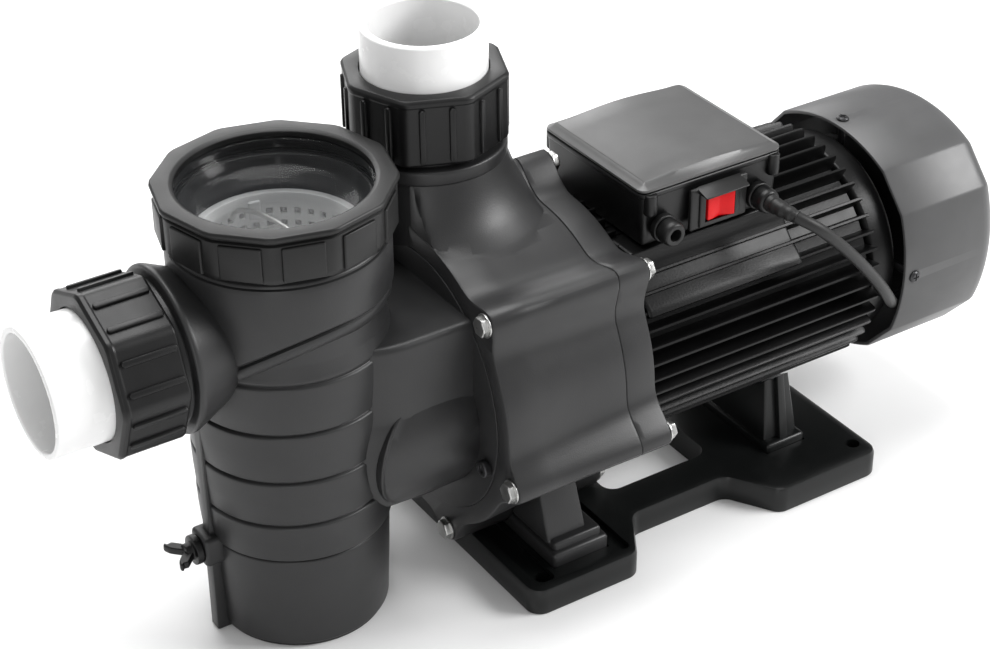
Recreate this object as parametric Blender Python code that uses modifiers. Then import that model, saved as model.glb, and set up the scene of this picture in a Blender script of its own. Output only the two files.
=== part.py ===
"""A self-priming pool pump: strainer pot, volute pump and fan-cooled motor on one base plate.

Stations along the motor axis (x) are measured from the base plate's front edge, y is zero on the
motor axis and z is zero on the ground. Everything hangs from one empty, which moves the origin to
the middle of the whole pump's footprint. Lengths are in metres, written as millimetres times MM.
"""
import bpy
import bmesh
from math import acos, atan2, cos, exp, hypot, pi, radians, sin, sqrt, tan, tau
from mathutils import Matrix, Vector

MM = 0.001
GAP = 0.3 * MM            # clearance between faces that touch on the real pump
AXIS_Z = 111 * MM         # height of the motor axis

# Base plate
BASE_LENGTH = 237 * MM
BASE_HALF = 88 * MM
WAIST_HALF = 59 * MM
BASE_THICK = 16 * MM
POCKET_FLOOR = 11.7 * MM
SADDLE_GAP = 0.8 * MM
WINDOW = (84 * MM, 153 * MM, 36 * MM)        # first x, last x, half width
MOUNT_HOLE_RADIUS = 4 * MM
MOUNT_HOLE_INSET = 13 * MM
FEET = {"pump_foot": (38.5 * MM, 17.5 * MM, 75 * MM),       # middle x, half length along x, half width
        "motor_foot": (193.5 * MM, 13.5 * MM, 56 * MM)}

# Strainer pot
POT_X = -90.8 * MM
POT_TOP = 240 * MM
POT_CAVITY = 43.5 * MM
NECK_Z = 178 * MM
NECK_RADIUS = 43 * MM
DRAIN_Z = 54 * MM
RING_BOTTOM = 226 * MM
RING_TOP = 252.3 * MM
RING_CORNER = 60.1 * MM
RING_HOLE = 48.1 * MM
BASKET_RIM_Z = 222 * MM
BASKET_FLOOR_Z = 66 * MM

# Pipe unions
INLET_END = -225.6 * MM
INLET_NUT = (-197 * MM, -162 * MM, 45.7 * MM)   # outer end, inner end, corner radius
INLET_PIPE = (33 * MM, 29.5 * MM)               # outer and inner radius
OUTLET_X = 15 * MM
OUTLET_Y = 35.5 * MM                            # the volute's outlet is tangential, on the far side
OUTLET_TOP = 292 * MM
OUTLET_NUT = (268 * MM, 231.5 * MM, 45.7 * MM)
OUTLET_PIPE = (32.6 * MM, 28.2 * MM)
OUTLET_SEAT = 246.5 * MM
INLET_SEAT = 174 * MM
GROOVE = (31.6 * MM, 34.8 * MM, 1.8 * MM)       # inner and outer radius and depth of an O-ring seat
LIP = 6 * MM                                    # thickness of the nut's lip

# Pump casing
CASE_FRONT = -13 * MM
CASE_REAR = 62.7 * MM
FLANGE_REAR = 82 * MM
CASE_PLAIN_FRONT = 84 * MM
CASE_PLAIN_REAR = 79 * MM
BOSS_REACH = 97.6 * MM
BOSS_CIRCLE = 89.5 * MM
BOSS_SPREAD = radians(7.5)
BOSS_ANGLES = [radians(15 + 60 * k) for k in range(6)]
COVER_SCREW_CIRCLE = 68 * MM
COVER_SCREW_ANGLES = [radians(angle) for angle in (198, 270, 342)]
COVER_RADIUS = 73.7 * MM
COVER_BACK = -3 * MM
CAVITY_RADIUS = 58 * MM
SEAL_PLATE_FRONT = 45 * MM
SEAL_PLATE_REAR = 55 * MM
SEAL_PLATE_RADIUS = 73.7 * MM

# Motor
MOTOR_FRONT = 82.3 * MM
MOTOR_REAR = 243 * MM
SHIELD_REAR = 262 * MM
MOTOR_BORE = 55 * MM
MOTOR_WALL = 58 * MM
FIN_RADIUS = 69 * MM
FIN_COUNT = 44
STATOR_SLOTS = 12
COWL_FRONT = 261 * MM
COWL_SHOULDER = 319 * MM
COWL_REAR = 331 * MM
COWL_WALL = 2.5 * MM
COWL_SCREW_X = 267.5 * MM
COWL_TOP = (44 * MM, 57.5 * MM, 11.5 * MM)      # half width, height and rise of the top arc
COWL_SIDE = (37.5 * MM, 62 * MM, 7 * MM)        # half height, width and rise of the side arc

# Terminal box and switch
BOX_X = (94 * MM, 186 * MM)
BOX_HALF = 45 * MM
BOX_FLOOR = 172.5 * MM
BOX_SEAM = 204.7 * MM
LID_TOP = 211.5 * MM
SWITCH_X = 142 * MM
SWITCH_Z = 187 * MM
ROCKER_PIVOT = (SWITCH_X, -BOX_HALF + 2 * MM, SWITCH_Z)
GLAND_X = (107 * MM, 169 * MM)
GLAND_Z = 183.5 * MM
CORD_RADIUS = 3.3 * MM

BASE_FRONT = -(INLET_END + COWL_REAR) / 2
TURN_TO_X = Matrix.Rotation(pi / 2, 4, "Y")

for old in list(bpy.data.objects):
    bpy.data.objects.remove(old, do_unlink=True)


def new_collection(name):
    collection = bpy.data.collections.new(name)
    bpy.context.scene.collection.children.link(collection)
    return collection


PUMP = new_collection("pool_pump")
CUTTERS = new_collection("cutters")
ORIGIN = bpy.data.objects.new("pump_origin", None)
ORIGIN.location = (BASE_FRONT, 0, 0)
PUMP.objects.link(ORIGIN)


# ---------------------------------------------------------------- materials

def material(name, colour, roughness, metallic=0.0, alpha=1.0):
    made = bpy.data.materials.new(name)
    made.use_nodes = True
    shader = made.node_tree.nodes["Principled BSDF"]
    shader.inputs["Base Color"].default_value = (*colour, 1)
    shader.inputs["Roughness"].default_value = roughness
    shader.inputs["Metallic"].default_value = metallic
    shader.inputs["Alpha"].default_value = alpha
    made.diffuse_color = (*colour, alpha)
    return made


CHARCOAL = material("charcoal_plastic", (0.055, 0.057, 0.06), 0.45)
BLACK = material("black_plastic", (0.022, 0.022, 0.024), 0.4)
GREY = material("grey_plastic", (0.2, 0.2, 0.2), 0.45)
WHITE = material("white_pvc", (0.85, 0.85, 0.84), 0.35)
CLEAR = material("clear_lid", (0.8, 0.85, 0.85), 0.08, alpha=0.3)
PALE = material("basket_plastic", (0.55, 0.56, 0.56), 0.4)
RED = material("red_rocker", (0.7, 0.02, 0.02), 0.3)
RUBBER = material("rubber", (0.015, 0.015, 0.015), 0.7)
STEEL = material("steel", (0.6, 0.6, 0.6), 0.3, 1.0)
CAST = material("motor_casting", (0.015, 0.015, 0.017), 0.4, 0.3)
COPPER = material("copper", (0.7, 0.3, 0.15), 0.35, 1.0)
CERAMIC = material("seal_ceramic", (0.8, 0.78, 0.72), 0.3)


# ---------------------------------------------------------------- building blocks

def add(name, mesh, finish, origin=(0, 0, 0), turn=None):
    """Put a mesh into the pump, or among the cutters when it has no finish."""
    made = bpy.data.objects.new(name, mesh)
    made.parent = ORIGIN
    made.matrix_basis = Matrix.Translation(origin) @ (turn or Matrix())
    if finish is None:
        CUTTERS.objects.link(made)
        made.hide_render = True
        made.display_type = "WIRE"
        return made
    PUMP.objects.link(made)
    mesh.materials.append(finish)
    return made


def bmesh_object(name, shape, finish, origin, turn=None):
    mesh = bpy.data.meshes.new(name)
    shape.to_mesh(mesh)
    shape.free()
    return add(name, mesh, finish, origin, turn)


def block(name, finish, low, high):
    """A box between two corners."""
    low, high = Vector(low), Vector(high)
    shape = bmesh.new()
    bmesh.ops.create_cube(shape, size=1)
    bmesh.ops.scale(shape, vec=high - low, verts=shape.verts)
    return bmesh_object(name, shape, finish, (low + high) / 2)


def tapered_block(name, finish, low, high, top_scale):
    """A box whose top face is smaller than its bottom by a factor along x and along y."""
    low, high = Vector(low), Vector(high)
    shape = bmesh.new()
    bmesh.ops.create_cube(shape, size=1)
    bmesh.ops.scale(shape, vec=high - low, verts=shape.verts)
    top = [v for v in shape.verts if v.co.z > 0]
    bmesh.ops.scale(shape, vec=(top_scale[0], top_scale[1], 1), verts=top)
    return bmesh_object(name, shape, finish, (low + high) / 2)


def prism(name, finish, sides, radius, start, end, centre, along="X"):
    """A cylinder or regular prism between two stations; corners start on the first cross axis."""
    shape = bmesh.new()
    bmesh.ops.create_cone(shape, cap_ends=True, segments=sides, radius1=radius, radius2=radius,
                          depth=end - start)
    middle = (start + end) / 2
    if along == "X":
        return bmesh_object(name, shape, finish, (middle, centre[0], centre[1]), TURN_TO_X)
    if along == "Y":
        turn = Matrix.Rotation(-pi / 2, 4, "X")
        return bmesh_object(name, shape, finish, (centre[0], middle, centre[1]), turn)
    return bmesh_object(name, shape, finish, (centre[0], centre[1], middle))


def bars(name, sizes):
    """One cutter made of separate round bars along x: (radius, start, end, y, z, sides) for each."""
    shape = bmesh.new()
    for radius, start, end, y, z, sides in sizes:
        place = Matrix.Translation(((start + end) / 2, y, z)) @ TURN_TO_X
        bmesh.ops.create_cone(shape, cap_ends=True, segments=sides, radius1=radius, radius2=radius,
                              depth=end - start, matrix=place)
    return bmesh_object(name, shape, None, (0, 0, 0))


def bars_around(radius, start, end, circle_radius, angles):
    """Sizes for bars whose centres lie on a circle about the motor axis."""
    return [(radius, start, end, *around_axis(circle_radius, angle), 8) for angle in angles]


def spokes(name, finish, low, high, count, sides=4):
    """Identical blocks that stand out from the motor axis like spokes, as one mesh."""
    shape = bmesh.new()
    size = [b - a for a, b in zip(low, high)]
    middle = [(a + b) / 2 for a, b in zip(low, high)]
    for k in range(count):
        spoke = (Matrix.Translation((0, 0, AXIS_Z)) @ Matrix.Rotation(tau * k / count, 4, "X")
                 @ Matrix.Translation(middle))
        if sides == 4:
            bmesh.ops.create_cube(shape, size=1, matrix=spoke @ Matrix.Diagonal((*size, 1)))
        else:
            bmesh.ops.create_cone(shape, cap_ends=True, segments=sides, radius1=size[0] / 2, radius2=size[0] / 2,
                                  depth=size[2], matrix=spoke)
    return bmesh_object(name, shape, finish, (0, 0, 0))


def turned(name, finish, profile, origin=(0, 0, 0), turn=None, steps=28):
    """A turned shape. The profile is a list of (radius, distance along the axis)."""
    points = list(profile)
    area = sum(a[0] * b[1] - b[0] * a[1] for a, b in zip(points, points[1:] + points[:1]))
    if area > 0:
        points.reverse()
    on_axis = points[0][0] == 0 or points[-1][0] == 0
    mesh = bpy.data.meshes.new(name)
    edges = [(k, k + 1) for k in range(len(points) - 1)]
    if not on_axis:
        edges.append((len(points) - 1, 0))
    mesh.from_pydata([(r, 0, z) for r, z in points], edges, [])
    made = add(name, mesh, finish, origin, turn)
    screw = made.modifiers.new("turn", "SCREW")
    screw.steps = screw.render_steps = steps
    screw.use_merge_vertices = True
    screw.merge_threshold = 0.00001
    screw.use_smooth_shade = False
    return made


def turned_x(name, finish, profile, height=AXIS_Z, y=0.0, steps=28):
    """A turned shape about a line along x; the profile gives (radius, station)."""
    return turned(name, finish, profile, (0, y, height), TURN_TO_X, steps)


def ring(inner, outer, start, end):
    return [(inner, start), (outer, start), (outer, end), (inner, end)]


def solid(radius, start, end):
    return [(0, start), (radius, start), (radius, end), (0, end)]


def as_mesh(curve_object, name, finish):
    """Turn a curve object into a mesh object whose loose caps are welded on."""
    bpy.context.view_layer.update()
    graph = bpy.context.evaluated_depsgraph_get()
    mesh = bpy.data.meshes.new_from_object(curve_object.evaluated_get(graph))
    shape = bmesh.new()
    shape.from_mesh(mesh)
    bmesh.ops.remove_doubles(shape, verts=shape.verts, dist=0.000005)
    bmesh.ops.recalc_face_normals(shape, faces=shape.faces)
    shape.to_mesh(mesh)
    shape.free()
    mesh.materials.clear()
    matrix = curve_object.matrix_basis.copy()
    bpy.data.objects.remove(curve_object, do_unlink=True)
    made = add(name, mesh, finish)
    made.matrix_basis = matrix
    return made


def plate(name, finish, outlines, low, high, turn=None, origin=(0, 0, 0)):
    """A flat outline with holes, extruded from low to high along its own z axis."""
    curve = bpy.data.curves.new(name, "CURVE")
    curve.dimensions = "2D"
    curve.fill_mode = "BOTH"
    curve.extrude = (high - low) / 2
    for outline in outlines:
        spline = curve.splines.new("POLY")
        spline.points.add(len(outline) - 1)
        for point, (x, y) in zip(spline.points, outline):
            point.co = (x, y, 0, 1)
        spline.use_cyclic_u = True
    made = add(name + "_outline", curve, finish or CHARCOAL)
    turn = turn or Matrix()
    made.matrix_basis = Matrix.Translation(origin) @ turn @ Matrix.Translation((0, 0, (low + high) / 2))
    return as_mesh(made, name, finish)


def wire(name, finish, points, radius, sides_resolution=2):
    """A round bar or cord along a smooth run of points."""
    curve = bpy.data.curves.new(name, "CURVE")
    curve.dimensions = "3D"
    curve.bevel_depth = radius
    curve.bevel_resolution = sides_resolution
    curve.use_fill_caps = True
    spline = curve.splines.new("POLY")
    spline.points.add(len(points) - 1)
    for point, place in zip(spline.points, points):
        point.co = (*place, 1)
    return as_mesh(add(name + "_line", curve, finish), name, finish)


def loft(name, finish, sections, capped=True):
    """A skin through closed sections that have the same number of points."""
    shape = bmesh.new()
    rows = [[shape.verts.new(p) for p in section] for section in sections]
    count = len(rows[0])
    for row, following in zip(rows, rows[1:]):
        for k in range(count):
            shape.faces.new((row[k], row[(k + 1) % count], following[(k + 1) % count], following[k]))
    if capped:
        shape.faces.new(rows[0])
        shape.faces.new(rows[-1])
    bmesh.ops.recalc_face_normals(shape, faces=shape.faces)
    return bmesh_object(name, shape, finish, (0, 0, 0))


def combine(target, operation, *tools):
    """Join or cut with every tool at once: the tools share a collection of their own."""
    group = bpy.data.collections.new(target.name + "_" + operation.lower())
    CUTTERS.children.link(group)
    for tool in tools:
        CUTTERS.objects.unlink(tool)
        group.objects.link(tool)
    boolean = target.modifiers.new(group.name, "BOOLEAN")
    boolean.operation = operation
    boolean.solver = "EXACT"
    boolean.operand_type = "COLLECTION"
    boolean.collection = group
    return target


def cut(target, *tools):
    return combine(target, "DIFFERENCE", *tools)


def join(target, *tools):
    return combine(target, "UNION", *tools)


def around_axis(radius, angle):
    """The y and z of a point on a circle about the motor axis."""
    return radius * cos(angle), AXIS_Z + radius * sin(angle)


def rounded(corners, radius, steps=3):
    """A closed outline whose corners are replaced by arcs."""
    outline = []
    count = len(corners)
    for k in range(count):
        corner = Vector(corners[k])
        back = (Vector(corners[k - 1]) - corner).normalized()
        ahead = (Vector(corners[(k + 1) % count]) - corner).normalized()
        half = back.angle(ahead) / 2
        middle = corner + (back + ahead).normalized() * radius / sin(half)
        start = corner + back * radius / tan(half) - middle
        end = corner + ahead * radius / tan(half) - middle
        sweep = start.angle_signed(end)
        first = atan2(start.y, start.x)
        for step in range(steps + 1):
            angle = first - sweep * step / steps
            outline.append((middle.x + radius * cos(angle), middle.y + radius * sin(angle)))
    return outline


def circle(x, y, radius, count=12):
    return [(x + radius * cos(tau * k / count), y + radius * sin(tau * k / count)) for k in range(count)]


def smooth_run(points, per_span=5):
    """Points on a smooth curve through hand-placed ones (Catmull-Rom)."""
    path = [Vector(p) for p in points]
    path = [path[0] * 2 - path[1]] + path + [path[-1] * 2 - path[-2]]
    run = []
    for a, b, c, d in zip(path, path[1:], path[2:], path[3:]):
        for step in range(per_span):
            t = step / per_span
            run.append(0.5 * (2 * b + (c - a) * t + (2 * a - 5 * b + 4 * c - d) * t ** 2
                              + (3 * b - a - 3 * c + d) * t ** 3))
    run.append(path[-2])
    return run


# ---------------------------------------------------------------- base and feet

def base_plate():
    taper_front, taper_rear = (66 * MM, 84 * MM), (147 * MM, 165 * MM)
    near = [(0, -BASE_HALF), (taper_front[0], -BASE_HALF), (taper_front[1], -WAIST_HALF),
            (taper_rear[0], -WAIST_HALF), (taper_rear[1], -BASE_HALF), (BASE_LENGTH, -BASE_HALF)]
    far = [(x, -y) for x, y in reversed(near)]
    first, last, half = WINDOW
    window = [(first, -half), (last, -half), (last, half), (first, half)]
    holes = [circle(x, y, MOUNT_HOLE_RADIUS)
             for x in (MOUNT_HOLE_INSET, BASE_LENGTH - 10 * MM)
             for y in (-BASE_HALF + MOUNT_HOLE_INSET, BASE_HALF - MOUNT_HOLE_INSET)]
    base = plate("base_plate", BLACK, [rounded(near + far, 9 * MM), rounded(window, 8 * MM)] + holes,
                 0, BASE_THICK)
    for name, (x, half_x, half_y) in FEET.items():
        pocket = block(name + "_pocket", None, (x - half_x - GAP, -half_y - GAP, POCKET_FLOOR),
                       (x + half_x + GAP, half_y + GAP, BASE_THICK + 5 * MM))
        cut(base, pocket)
    return base


def pump_foot():
    x, half_x, half_y = FEET["pump_foot"]
    floor = POCKET_FLOOR + GAP
    foot = block("pump_foot", CHARCOAL, (x - half_x, -half_y, floor), (x + half_x, half_y, 24 * MM))
    column = tapered_block("pump_foot_column", None, (x - half_x, -half_y + 2 * MM, 20 * MM),
                           (x + 6 * MM, half_y - 2 * MM, 66 * MM), (0.94, 0.78))
    saddle = loft("pump_foot_saddle", None, [case_section(CASE_FRONT - 5 * MM, CASE_PLAIN_FRONT, SADDLE_GAP),
                                             case_section(FLANGE_REAR + 5 * MM, CASE_PLAIN_REAR, SADDLE_GAP)])
    return cut(join(foot, column), saddle)


def motor_foot():
    x, half_x, half_y = FEET["motor_foot"]
    foot = tapered_block("motor_foot", BLACK, (x - half_x, -half_y, POCKET_FLOOR + GAP),
                         (x + half_x, half_y, 72 * MM), (0.62, 0.76))
    saddle = prism("motor_foot_saddle", None, 64, FIN_RADIUS + 2 * GAP, x - 40 * MM, x + 40 * MM, (0, AXIS_Z))
    return cut(foot, saddle)


# ---------------------------------------------------------------- strainer pot

def conduit_section(x, narrowing=1.0):
    """A round belly under a flat-topped box, squeezed toward the middle where it leaves the pot."""
    half, top, belly, centre = 52 * MM, 170.4 * MM, 56 * MM, 107 * MM
    shoulder = acos(half / belly)
    sweep = pi + 2 * shoulder
    section = [(x, half * narrowing, top)]
    for k in range(21):
        angle = shoulder - sweep * k / 20
        section.append((x, belly * cos(angle) * narrowing, centre + belly * sin(angle)))
    return section + [(x, -half * narrowing, top)]


def strainer_body():
    """The pot, the union neck in front of it and the flat-topped conduit that joins it to the pump."""
    outer = [(0, 0), (46 * MM, 0), (48 * MM, 61 * MM), (49.5 * MM, 61 * MM), (53 * MM, 163 * MM), (54.4 * MM, 221 * MM),
             (52 * MM, 224 * MM), (52 * MM, POT_TOP), (0, POT_TOP)]
    body = turned("strainer_body", CHARCOAL, outer, (POT_X, 0, 0), steps=36)
    neck = turned_x("inlet_neck", None, [(0, POT_X), (NECK_RADIUS, POT_X), (NECK_RADIUS, -158 * MM),
                                         (37 * MM, -158 * MM), (37 * MM, -INLET_SEAT)]
                    + seat_groove(-INLET_SEAT, 1) + [(0, -INLET_SEAT)], NECK_Z)
    conduit = loft("conduit", None, [conduit_section(POT_X + 8 * MM, 0.86), conduit_section(POT_X + 40 * MM),
                                     conduit_section(CASE_FRONT - GAP)])
    cover = turned_x("front_cover", None, solid(COVER_RADIUS, CASE_FRONT - 2 * GAP, COVER_BACK))
    boss = prism("drain_boss", None, 15, 9.5 * MM, -148 * MM, POT_X, (0, DRAIN_Z))
    rib = block("pot_rib", None, (POT_X - 52.5 * MM, -4 * MM, 0.0), (POT_X - 40 * MM, 4 * MM, 138 * MM))
    join(body, neck, conduit, cover, boss, rib)
    above = POT_TOP + 3 * MM
    cavity = turned("pot_cavity", None, [(0, 5 * MM), (41.5 * MM, 5 * MM), (POT_CAVITY, 150 * MM), (46.5 * MM, 236 * MM),
                                         (46.5 * MM, above), (47.8 * MM, above), (47.8 * MM, 237.8 * MM),
                                         (50.4 * MM, 237.8 * MM), (50.4 * MM, above + MM), (0, above + MM)],
                    (POT_X, 0, 0), steps=28)
    inlet = (INLET_PIPE[1], -180 * MM, POT_X, 0, NECK_Z, 28)
    suction = (21 * MM, POT_X, COVER_BACK + 2 * MM, 0, AXIS_Z, 24)
    drain = (5.3 * MM, -155 * MM, POT_X, 0, DRAIN_Z, 12)
    screws = bars_around(2.5 * MM, CASE_FRONT - 3 * MM, COVER_BACK + 3 * MM, COVER_SCREW_CIRCLE, COVER_SCREW_ANGLES)
    return cut(body, cavity, bars("strainer_bores", [inlet, suction, drain] + screws))


def lid_ring():
    ring_nut = prism("lid_ring", BLACK, 12, RING_CORNER, RING_BOTTOM, RING_TOP, (POT_X, 0), "Z")
    bore = turned("ring_bore", None, [(0, RING_BOTTOM - 5 * MM), (52.4 * MM, RING_BOTTOM - 5 * MM),
                                      (52.4 * MM, 248.3 * MM), (RING_HOLE, 248.3 * MM),
                                      (RING_HOLE, RING_TOP + 5 * MM), (0, RING_TOP + 5 * MM)], (POT_X, 0, 0))
    bevel = turned("ring_foot", None, [(60 * MM, RING_BOTTOM - 2 * MM), (63 * MM, RING_BOTTOM - 2 * MM),
                                       (63 * MM, RING_BOTTOM + 4 * MM)], (POT_X, 0, 0))
    return cut(ring_nut, bore, bevel)


def strainer_lid():
    """A clear dish: a flat rim under the ring's lip and a sunken middle."""
    profile = [(0, 230 * MM), (30 * MM, 230.6 * MM), (43 * MM, 233.5 * MM), (45.6 * MM, 240.3 * MM),
               (51.9 * MM, 240.3 * MM), (51.9 * MM, 248 * MM), (47 * MM, 248 * MM), (44.5 * MM, 243 * MM),
               (40 * MM, 237 * MM), (28 * MM, 234.3 * MM), (0, 233.6 * MM)]
    return turned("strainer_lid", CLEAR, profile, (POT_X, 0, 0))


def o_ring(name, radius, thickness, centre, turn=None):
    section = [(radius + thickness * cos(tau * k / 6), thickness * sin(tau * k / 6)) for k in range(6)]
    return turned(name, RUBBER, section, centre, turn)


def basket():
    """A tapered cup with a rim that rests in the pot and a window that faces the inlet."""
    profile = [(0, BASKET_FLOOR_Z), (34 * MM, BASKET_FLOOR_Z), (41 * MM, BASKET_RIM_Z - 4 * MM),
               (43.6 * MM, BASKET_RIM_Z - 2 * MM), (43.6 * MM, BASKET_RIM_Z), (39 * MM, BASKET_RIM_Z),
               (38.6 * MM, BASKET_RIM_Z - 6 * MM), (32 * MM, BASKET_FLOOR_Z + 2 * MM), (0, BASKET_FLOOR_Z + 2 * MM)]
    cup = turned("basket", PALE, profile, (POT_X, 0, 0))
    mouth = prism("basket_window", None, 28, 25 * MM, POT_X - 60 * MM, POT_X - 10 * MM, (0, NECK_Z))
    return cut(cup, mouth)


def basket_handle():
    """A wire bail that arches over the basket's mouth between two pivots."""
    reach, rise, pivot = 36.6 * MM, 13 * MM, BASKET_RIM_Z - 8 * MM
    lean = radians(10)
    points = []
    for k in range(13):
        angle = pi * k / 12
        side = -reach * cos(angle)
        points.append((POT_X - side * sin(lean), side * cos(lean), pivot + rise * sin(angle)))
    return wire("basket_handle", STEEL, points, 1.3 * MM)


def drain_plug():
    """A wing plug: a threaded stem, a flange and a two-pronged grip."""
    stem_end, flange, grip_end = -142 * MM, -148.4 * MM, -164 * MM
    plug = turned_x("drain_plug", BLACK, [(0, stem_end), (4.9 * MM, stem_end), (4.9 * MM, flange),
                                          (8 * MM, flange), (8 * MM, flange - 3.5 * MM),
                                          (5 * MM, flange - 3.5 * MM), (5 * MM, flange - 6 * MM),
                                          (0, flange - 6 * MM)], DRAIN_Z, steps=24)
    tip = grip_end
    prongs = []
    for side in (-1, 1):
        outline = [(flange - 3 * MM, -3 * MM), (flange - 3 * MM, 3 * MM), (tip + 1 * MM, side * 9 * MM + 2.6 * MM),
                   (tip, side * 9 * MM - 2.6 * MM)]
        prongs.append(plate("drain_prong", None, [outline], -1.8 * MM, 1.8 * MM,
                            Matrix.Rotation(pi / 2, 4, "X"), (0, 0, DRAIN_Z)))
    return join(plug, *prongs)


# ---------------------------------------------------------------- pipe unions

def seat_groove(seat, inward):
    """Profile points of the O-ring groove in a neck's end, from the outside to the inside."""
    inner, outer, depth = GROOVE
    floor = seat + inward * depth
    return [(outer, seat), (outer, floor), (inner, floor), (inner, seat)]


def union_nut(name, nut, thread_radius, hole_radius, centre, turn):
    """An octagonal nut: a threaded bore, and a lip that holds the pipe's collar."""
    start, end, corner = nut
    body = turned(name, BLACK, solid(corner, start, end), centre, turn, steps=8)
    over = 5 * MM
    bore = turned(name + "_bore", None, [(0, start - over), (thread_radius, start - over), (thread_radius, end - LIP),
                                         (hole_radius, end - LIP), (hole_radius, end + over), (0, end + over)],
                  centre, turn, steps=24)
    return cut(body, bore)


def pipe_union(side, pipe, nut, neck_radius, seat, pipe_end, centre, turn=None):
    """Nut, pipe and O-ring. Distances run outward from the pump along the union's own axis."""
    outer, inner = pipe
    collar_end = nut[1] - LIP - GAP
    collar_radius = neck_radius - 0.5 * MM
    union_nut(side + "_nut", nut, neck_radius + 0.4 * MM, outer + 0.7 * MM, centre, turn)
    turned(side + "_pipe", WHITE, [(inner, seat + GAP), (collar_radius, seat + GAP), (collar_radius, collar_end),
                                   (outer, collar_end), (outer, pipe_end), (inner, pipe_end)], centre, turn)
    radius = (GROOVE[0] + GROOVE[1]) / 2
    middle = centre + (turn or Matrix()) @ Vector((0, 0, seat - 0.8 * MM))
    o_ring(side + "_o_ring", radius, 0.9 * MM, middle, turn)


def inlet_union():
    outward = Matrix.Rotation(-pi / 2, 4, "Y")
    end, start, corner = INLET_NUT
    pipe_union("inlet", INLET_PIPE, (-start, -end, corner), 37 * MM, INLET_SEAT, -INLET_END,
               Vector((0, 0, NECK_Z)), outward)


def outlet_union():
    end, start, corner = OUTLET_NUT
    pipe_union("outlet", OUTLET_PIPE, (start, end, corner), 36 * MM, OUTLET_SEAT, OUTLET_TOP,
               Vector((OUTLET_X, OUTLET_Y, 0)))


# ---------------------------------------------------------------- pump casing

def case_section(x, plain, grow=0.0):
    """A plain circle with a rounded boss at each long bolt."""
    section = []
    count = 72
    for k in range(count):
        angle = tau * k / count
        nearest = min(abs((angle - boss + pi) % tau - pi) for boss in BOSS_ANGLES)
        radius = plain + (BOSS_REACH - plain) * exp(-(nearest / BOSS_SPREAD) ** 2) + grow
        y, z = around_axis(radius, angle)
        section.append((x, y, z))
    return section


def bolt_holes(start, end):
    return bars("bolt_holes", bars_around(3.4 * MM, start - 5 * MM, end + 5 * MM, BOSS_CIRCLE, BOSS_ANGLES))


def volute_casing():
    """The casing with its outlet neck. The front bore takes the strainer's round cover."""
    casing = loft("volute_casing", CHARCOAL, [case_section(CASE_FRONT, CASE_PLAIN_FRONT),
                                              case_section(CASE_REAR, CASE_PLAIN_REAR)])
    neck = turned("outlet_neck", None, [(0, 171 * MM), (37 * MM, 171 * MM), (37 * MM, 220 * MM), (42 * MM, 222 * MM),
                                        (42 * MM, 228 * MM), (36 * MM, 228 * MM), (36 * MM, OUTLET_SEAT)]
                  + seat_groove(OUTLET_SEAT, -1) + [(0, OUTLET_SEAT)], (OUTLET_X, OUTLET_Y, 0))
    shoulder = block("outlet_shoulder", None, (CASE_FRONT + MM, 20 * MM, 145 * MM), (48 * MM, 64 * MM, 180 * MM))
    join(casing, neck, shoulder)
    cover_seat = COVER_RADIUS + GAP
    plate_seat = SEAL_PLATE_RADIUS + GAP
    inside = turned_x("volute_cavity", None,
                      [(0, CASE_FRONT - 15 * MM), (cover_seat, CASE_FRONT - 15 * MM), (cover_seat, COVER_BACK + GAP),
                       (CAVITY_RADIUS, COVER_BACK + GAP), (CAVITY_RADIUS, 12 * MM), (70 * MM, 14 * MM),
                       (70 * MM, SEAL_PLATE_FRONT - GAP), (plate_seat, SEAL_PLATE_FRONT - GAP),
                       (plate_seat, CASE_REAR + 5 * MM), (0, CASE_REAR + 5 * MM)])
    riser = prism("outlet_bore", None, 28, OUTLET_PIPE[1] - MM, 206 * MM, OUTLET_SEAT + 5 * MM,
                  (OUTLET_X, OUTLET_Y), "Z")
    channel = block("outlet_channel", None, (0, 32 * MM, 140 * MM), (38 * MM, 57 * MM, 212 * MM))
    head_pocket = prism("bolt_head_pocket", None, 12, 7.5 * MM, CASE_FRONT - 40 * MM, CASE_FRONT + 0.5 * MM,
                        around_axis(BOSS_CIRCLE, BOSS_ANGLES[1]))
    screws = bars("screw_holes", bars_around(2.5 * MM, COVER_BACK - 2 * MM, 10 * MM, COVER_SCREW_CIRCLE,
                                             COVER_SCREW_ANGLES))
    return cut(casing, inside, riser, channel, head_pocket, screws, bolt_holes(CASE_FRONT, CASE_REAR))


def motor_flange():
    """The bracket between pump and motor: it backs the seal plate and holds the front bearing."""
    flange = loft("motor_flange", CHARCOAL, [case_section(CASE_REAR + GAP, CASE_PLAIN_REAR),
                                             case_section(FLANGE_REAR, CASE_PLAIN_REAR - MM)])
    spigot = turned_x("flange_spigot", None, solid(SEAL_PLATE_RADIUS, SEAL_PLATE_REAR + GAP, 70 * MM))
    join(flange, spigot)
    bore = turned_x("flange_bore", None,
                    [(0, 50 * MM), (64 * MM, 50 * MM), (64 * MM, 60 * MM), (10 * MM, 60 * MM), (10 * MM, 66.7 * MM),
                     (20.3 * MM, 66.7 * MM), (20.3 * MM, FLANGE_REAR + 5 * MM), (0, FLANGE_REAR + 5 * MM)], steps=24)
    return cut(flange, bolt_holes(CASE_REAR, FLANGE_REAR), bore)


def seal_plate():
    """The plate behind the impeller. Its stepped bore holds the fixed seal ring."""
    turned_x("seal_plate", CHARCOAL, [(14 * MM, SEAL_PLATE_FRONT), (SEAL_PLATE_RADIUS, SEAL_PLATE_FRONT),
                                      (SEAL_PLATE_RADIUS, SEAL_PLATE_REAR), (10 * MM, SEAL_PLATE_REAR),
                                      (10 * MM, 53.6 * MM), (14 * MM, 53.6 * MM)])


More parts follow.
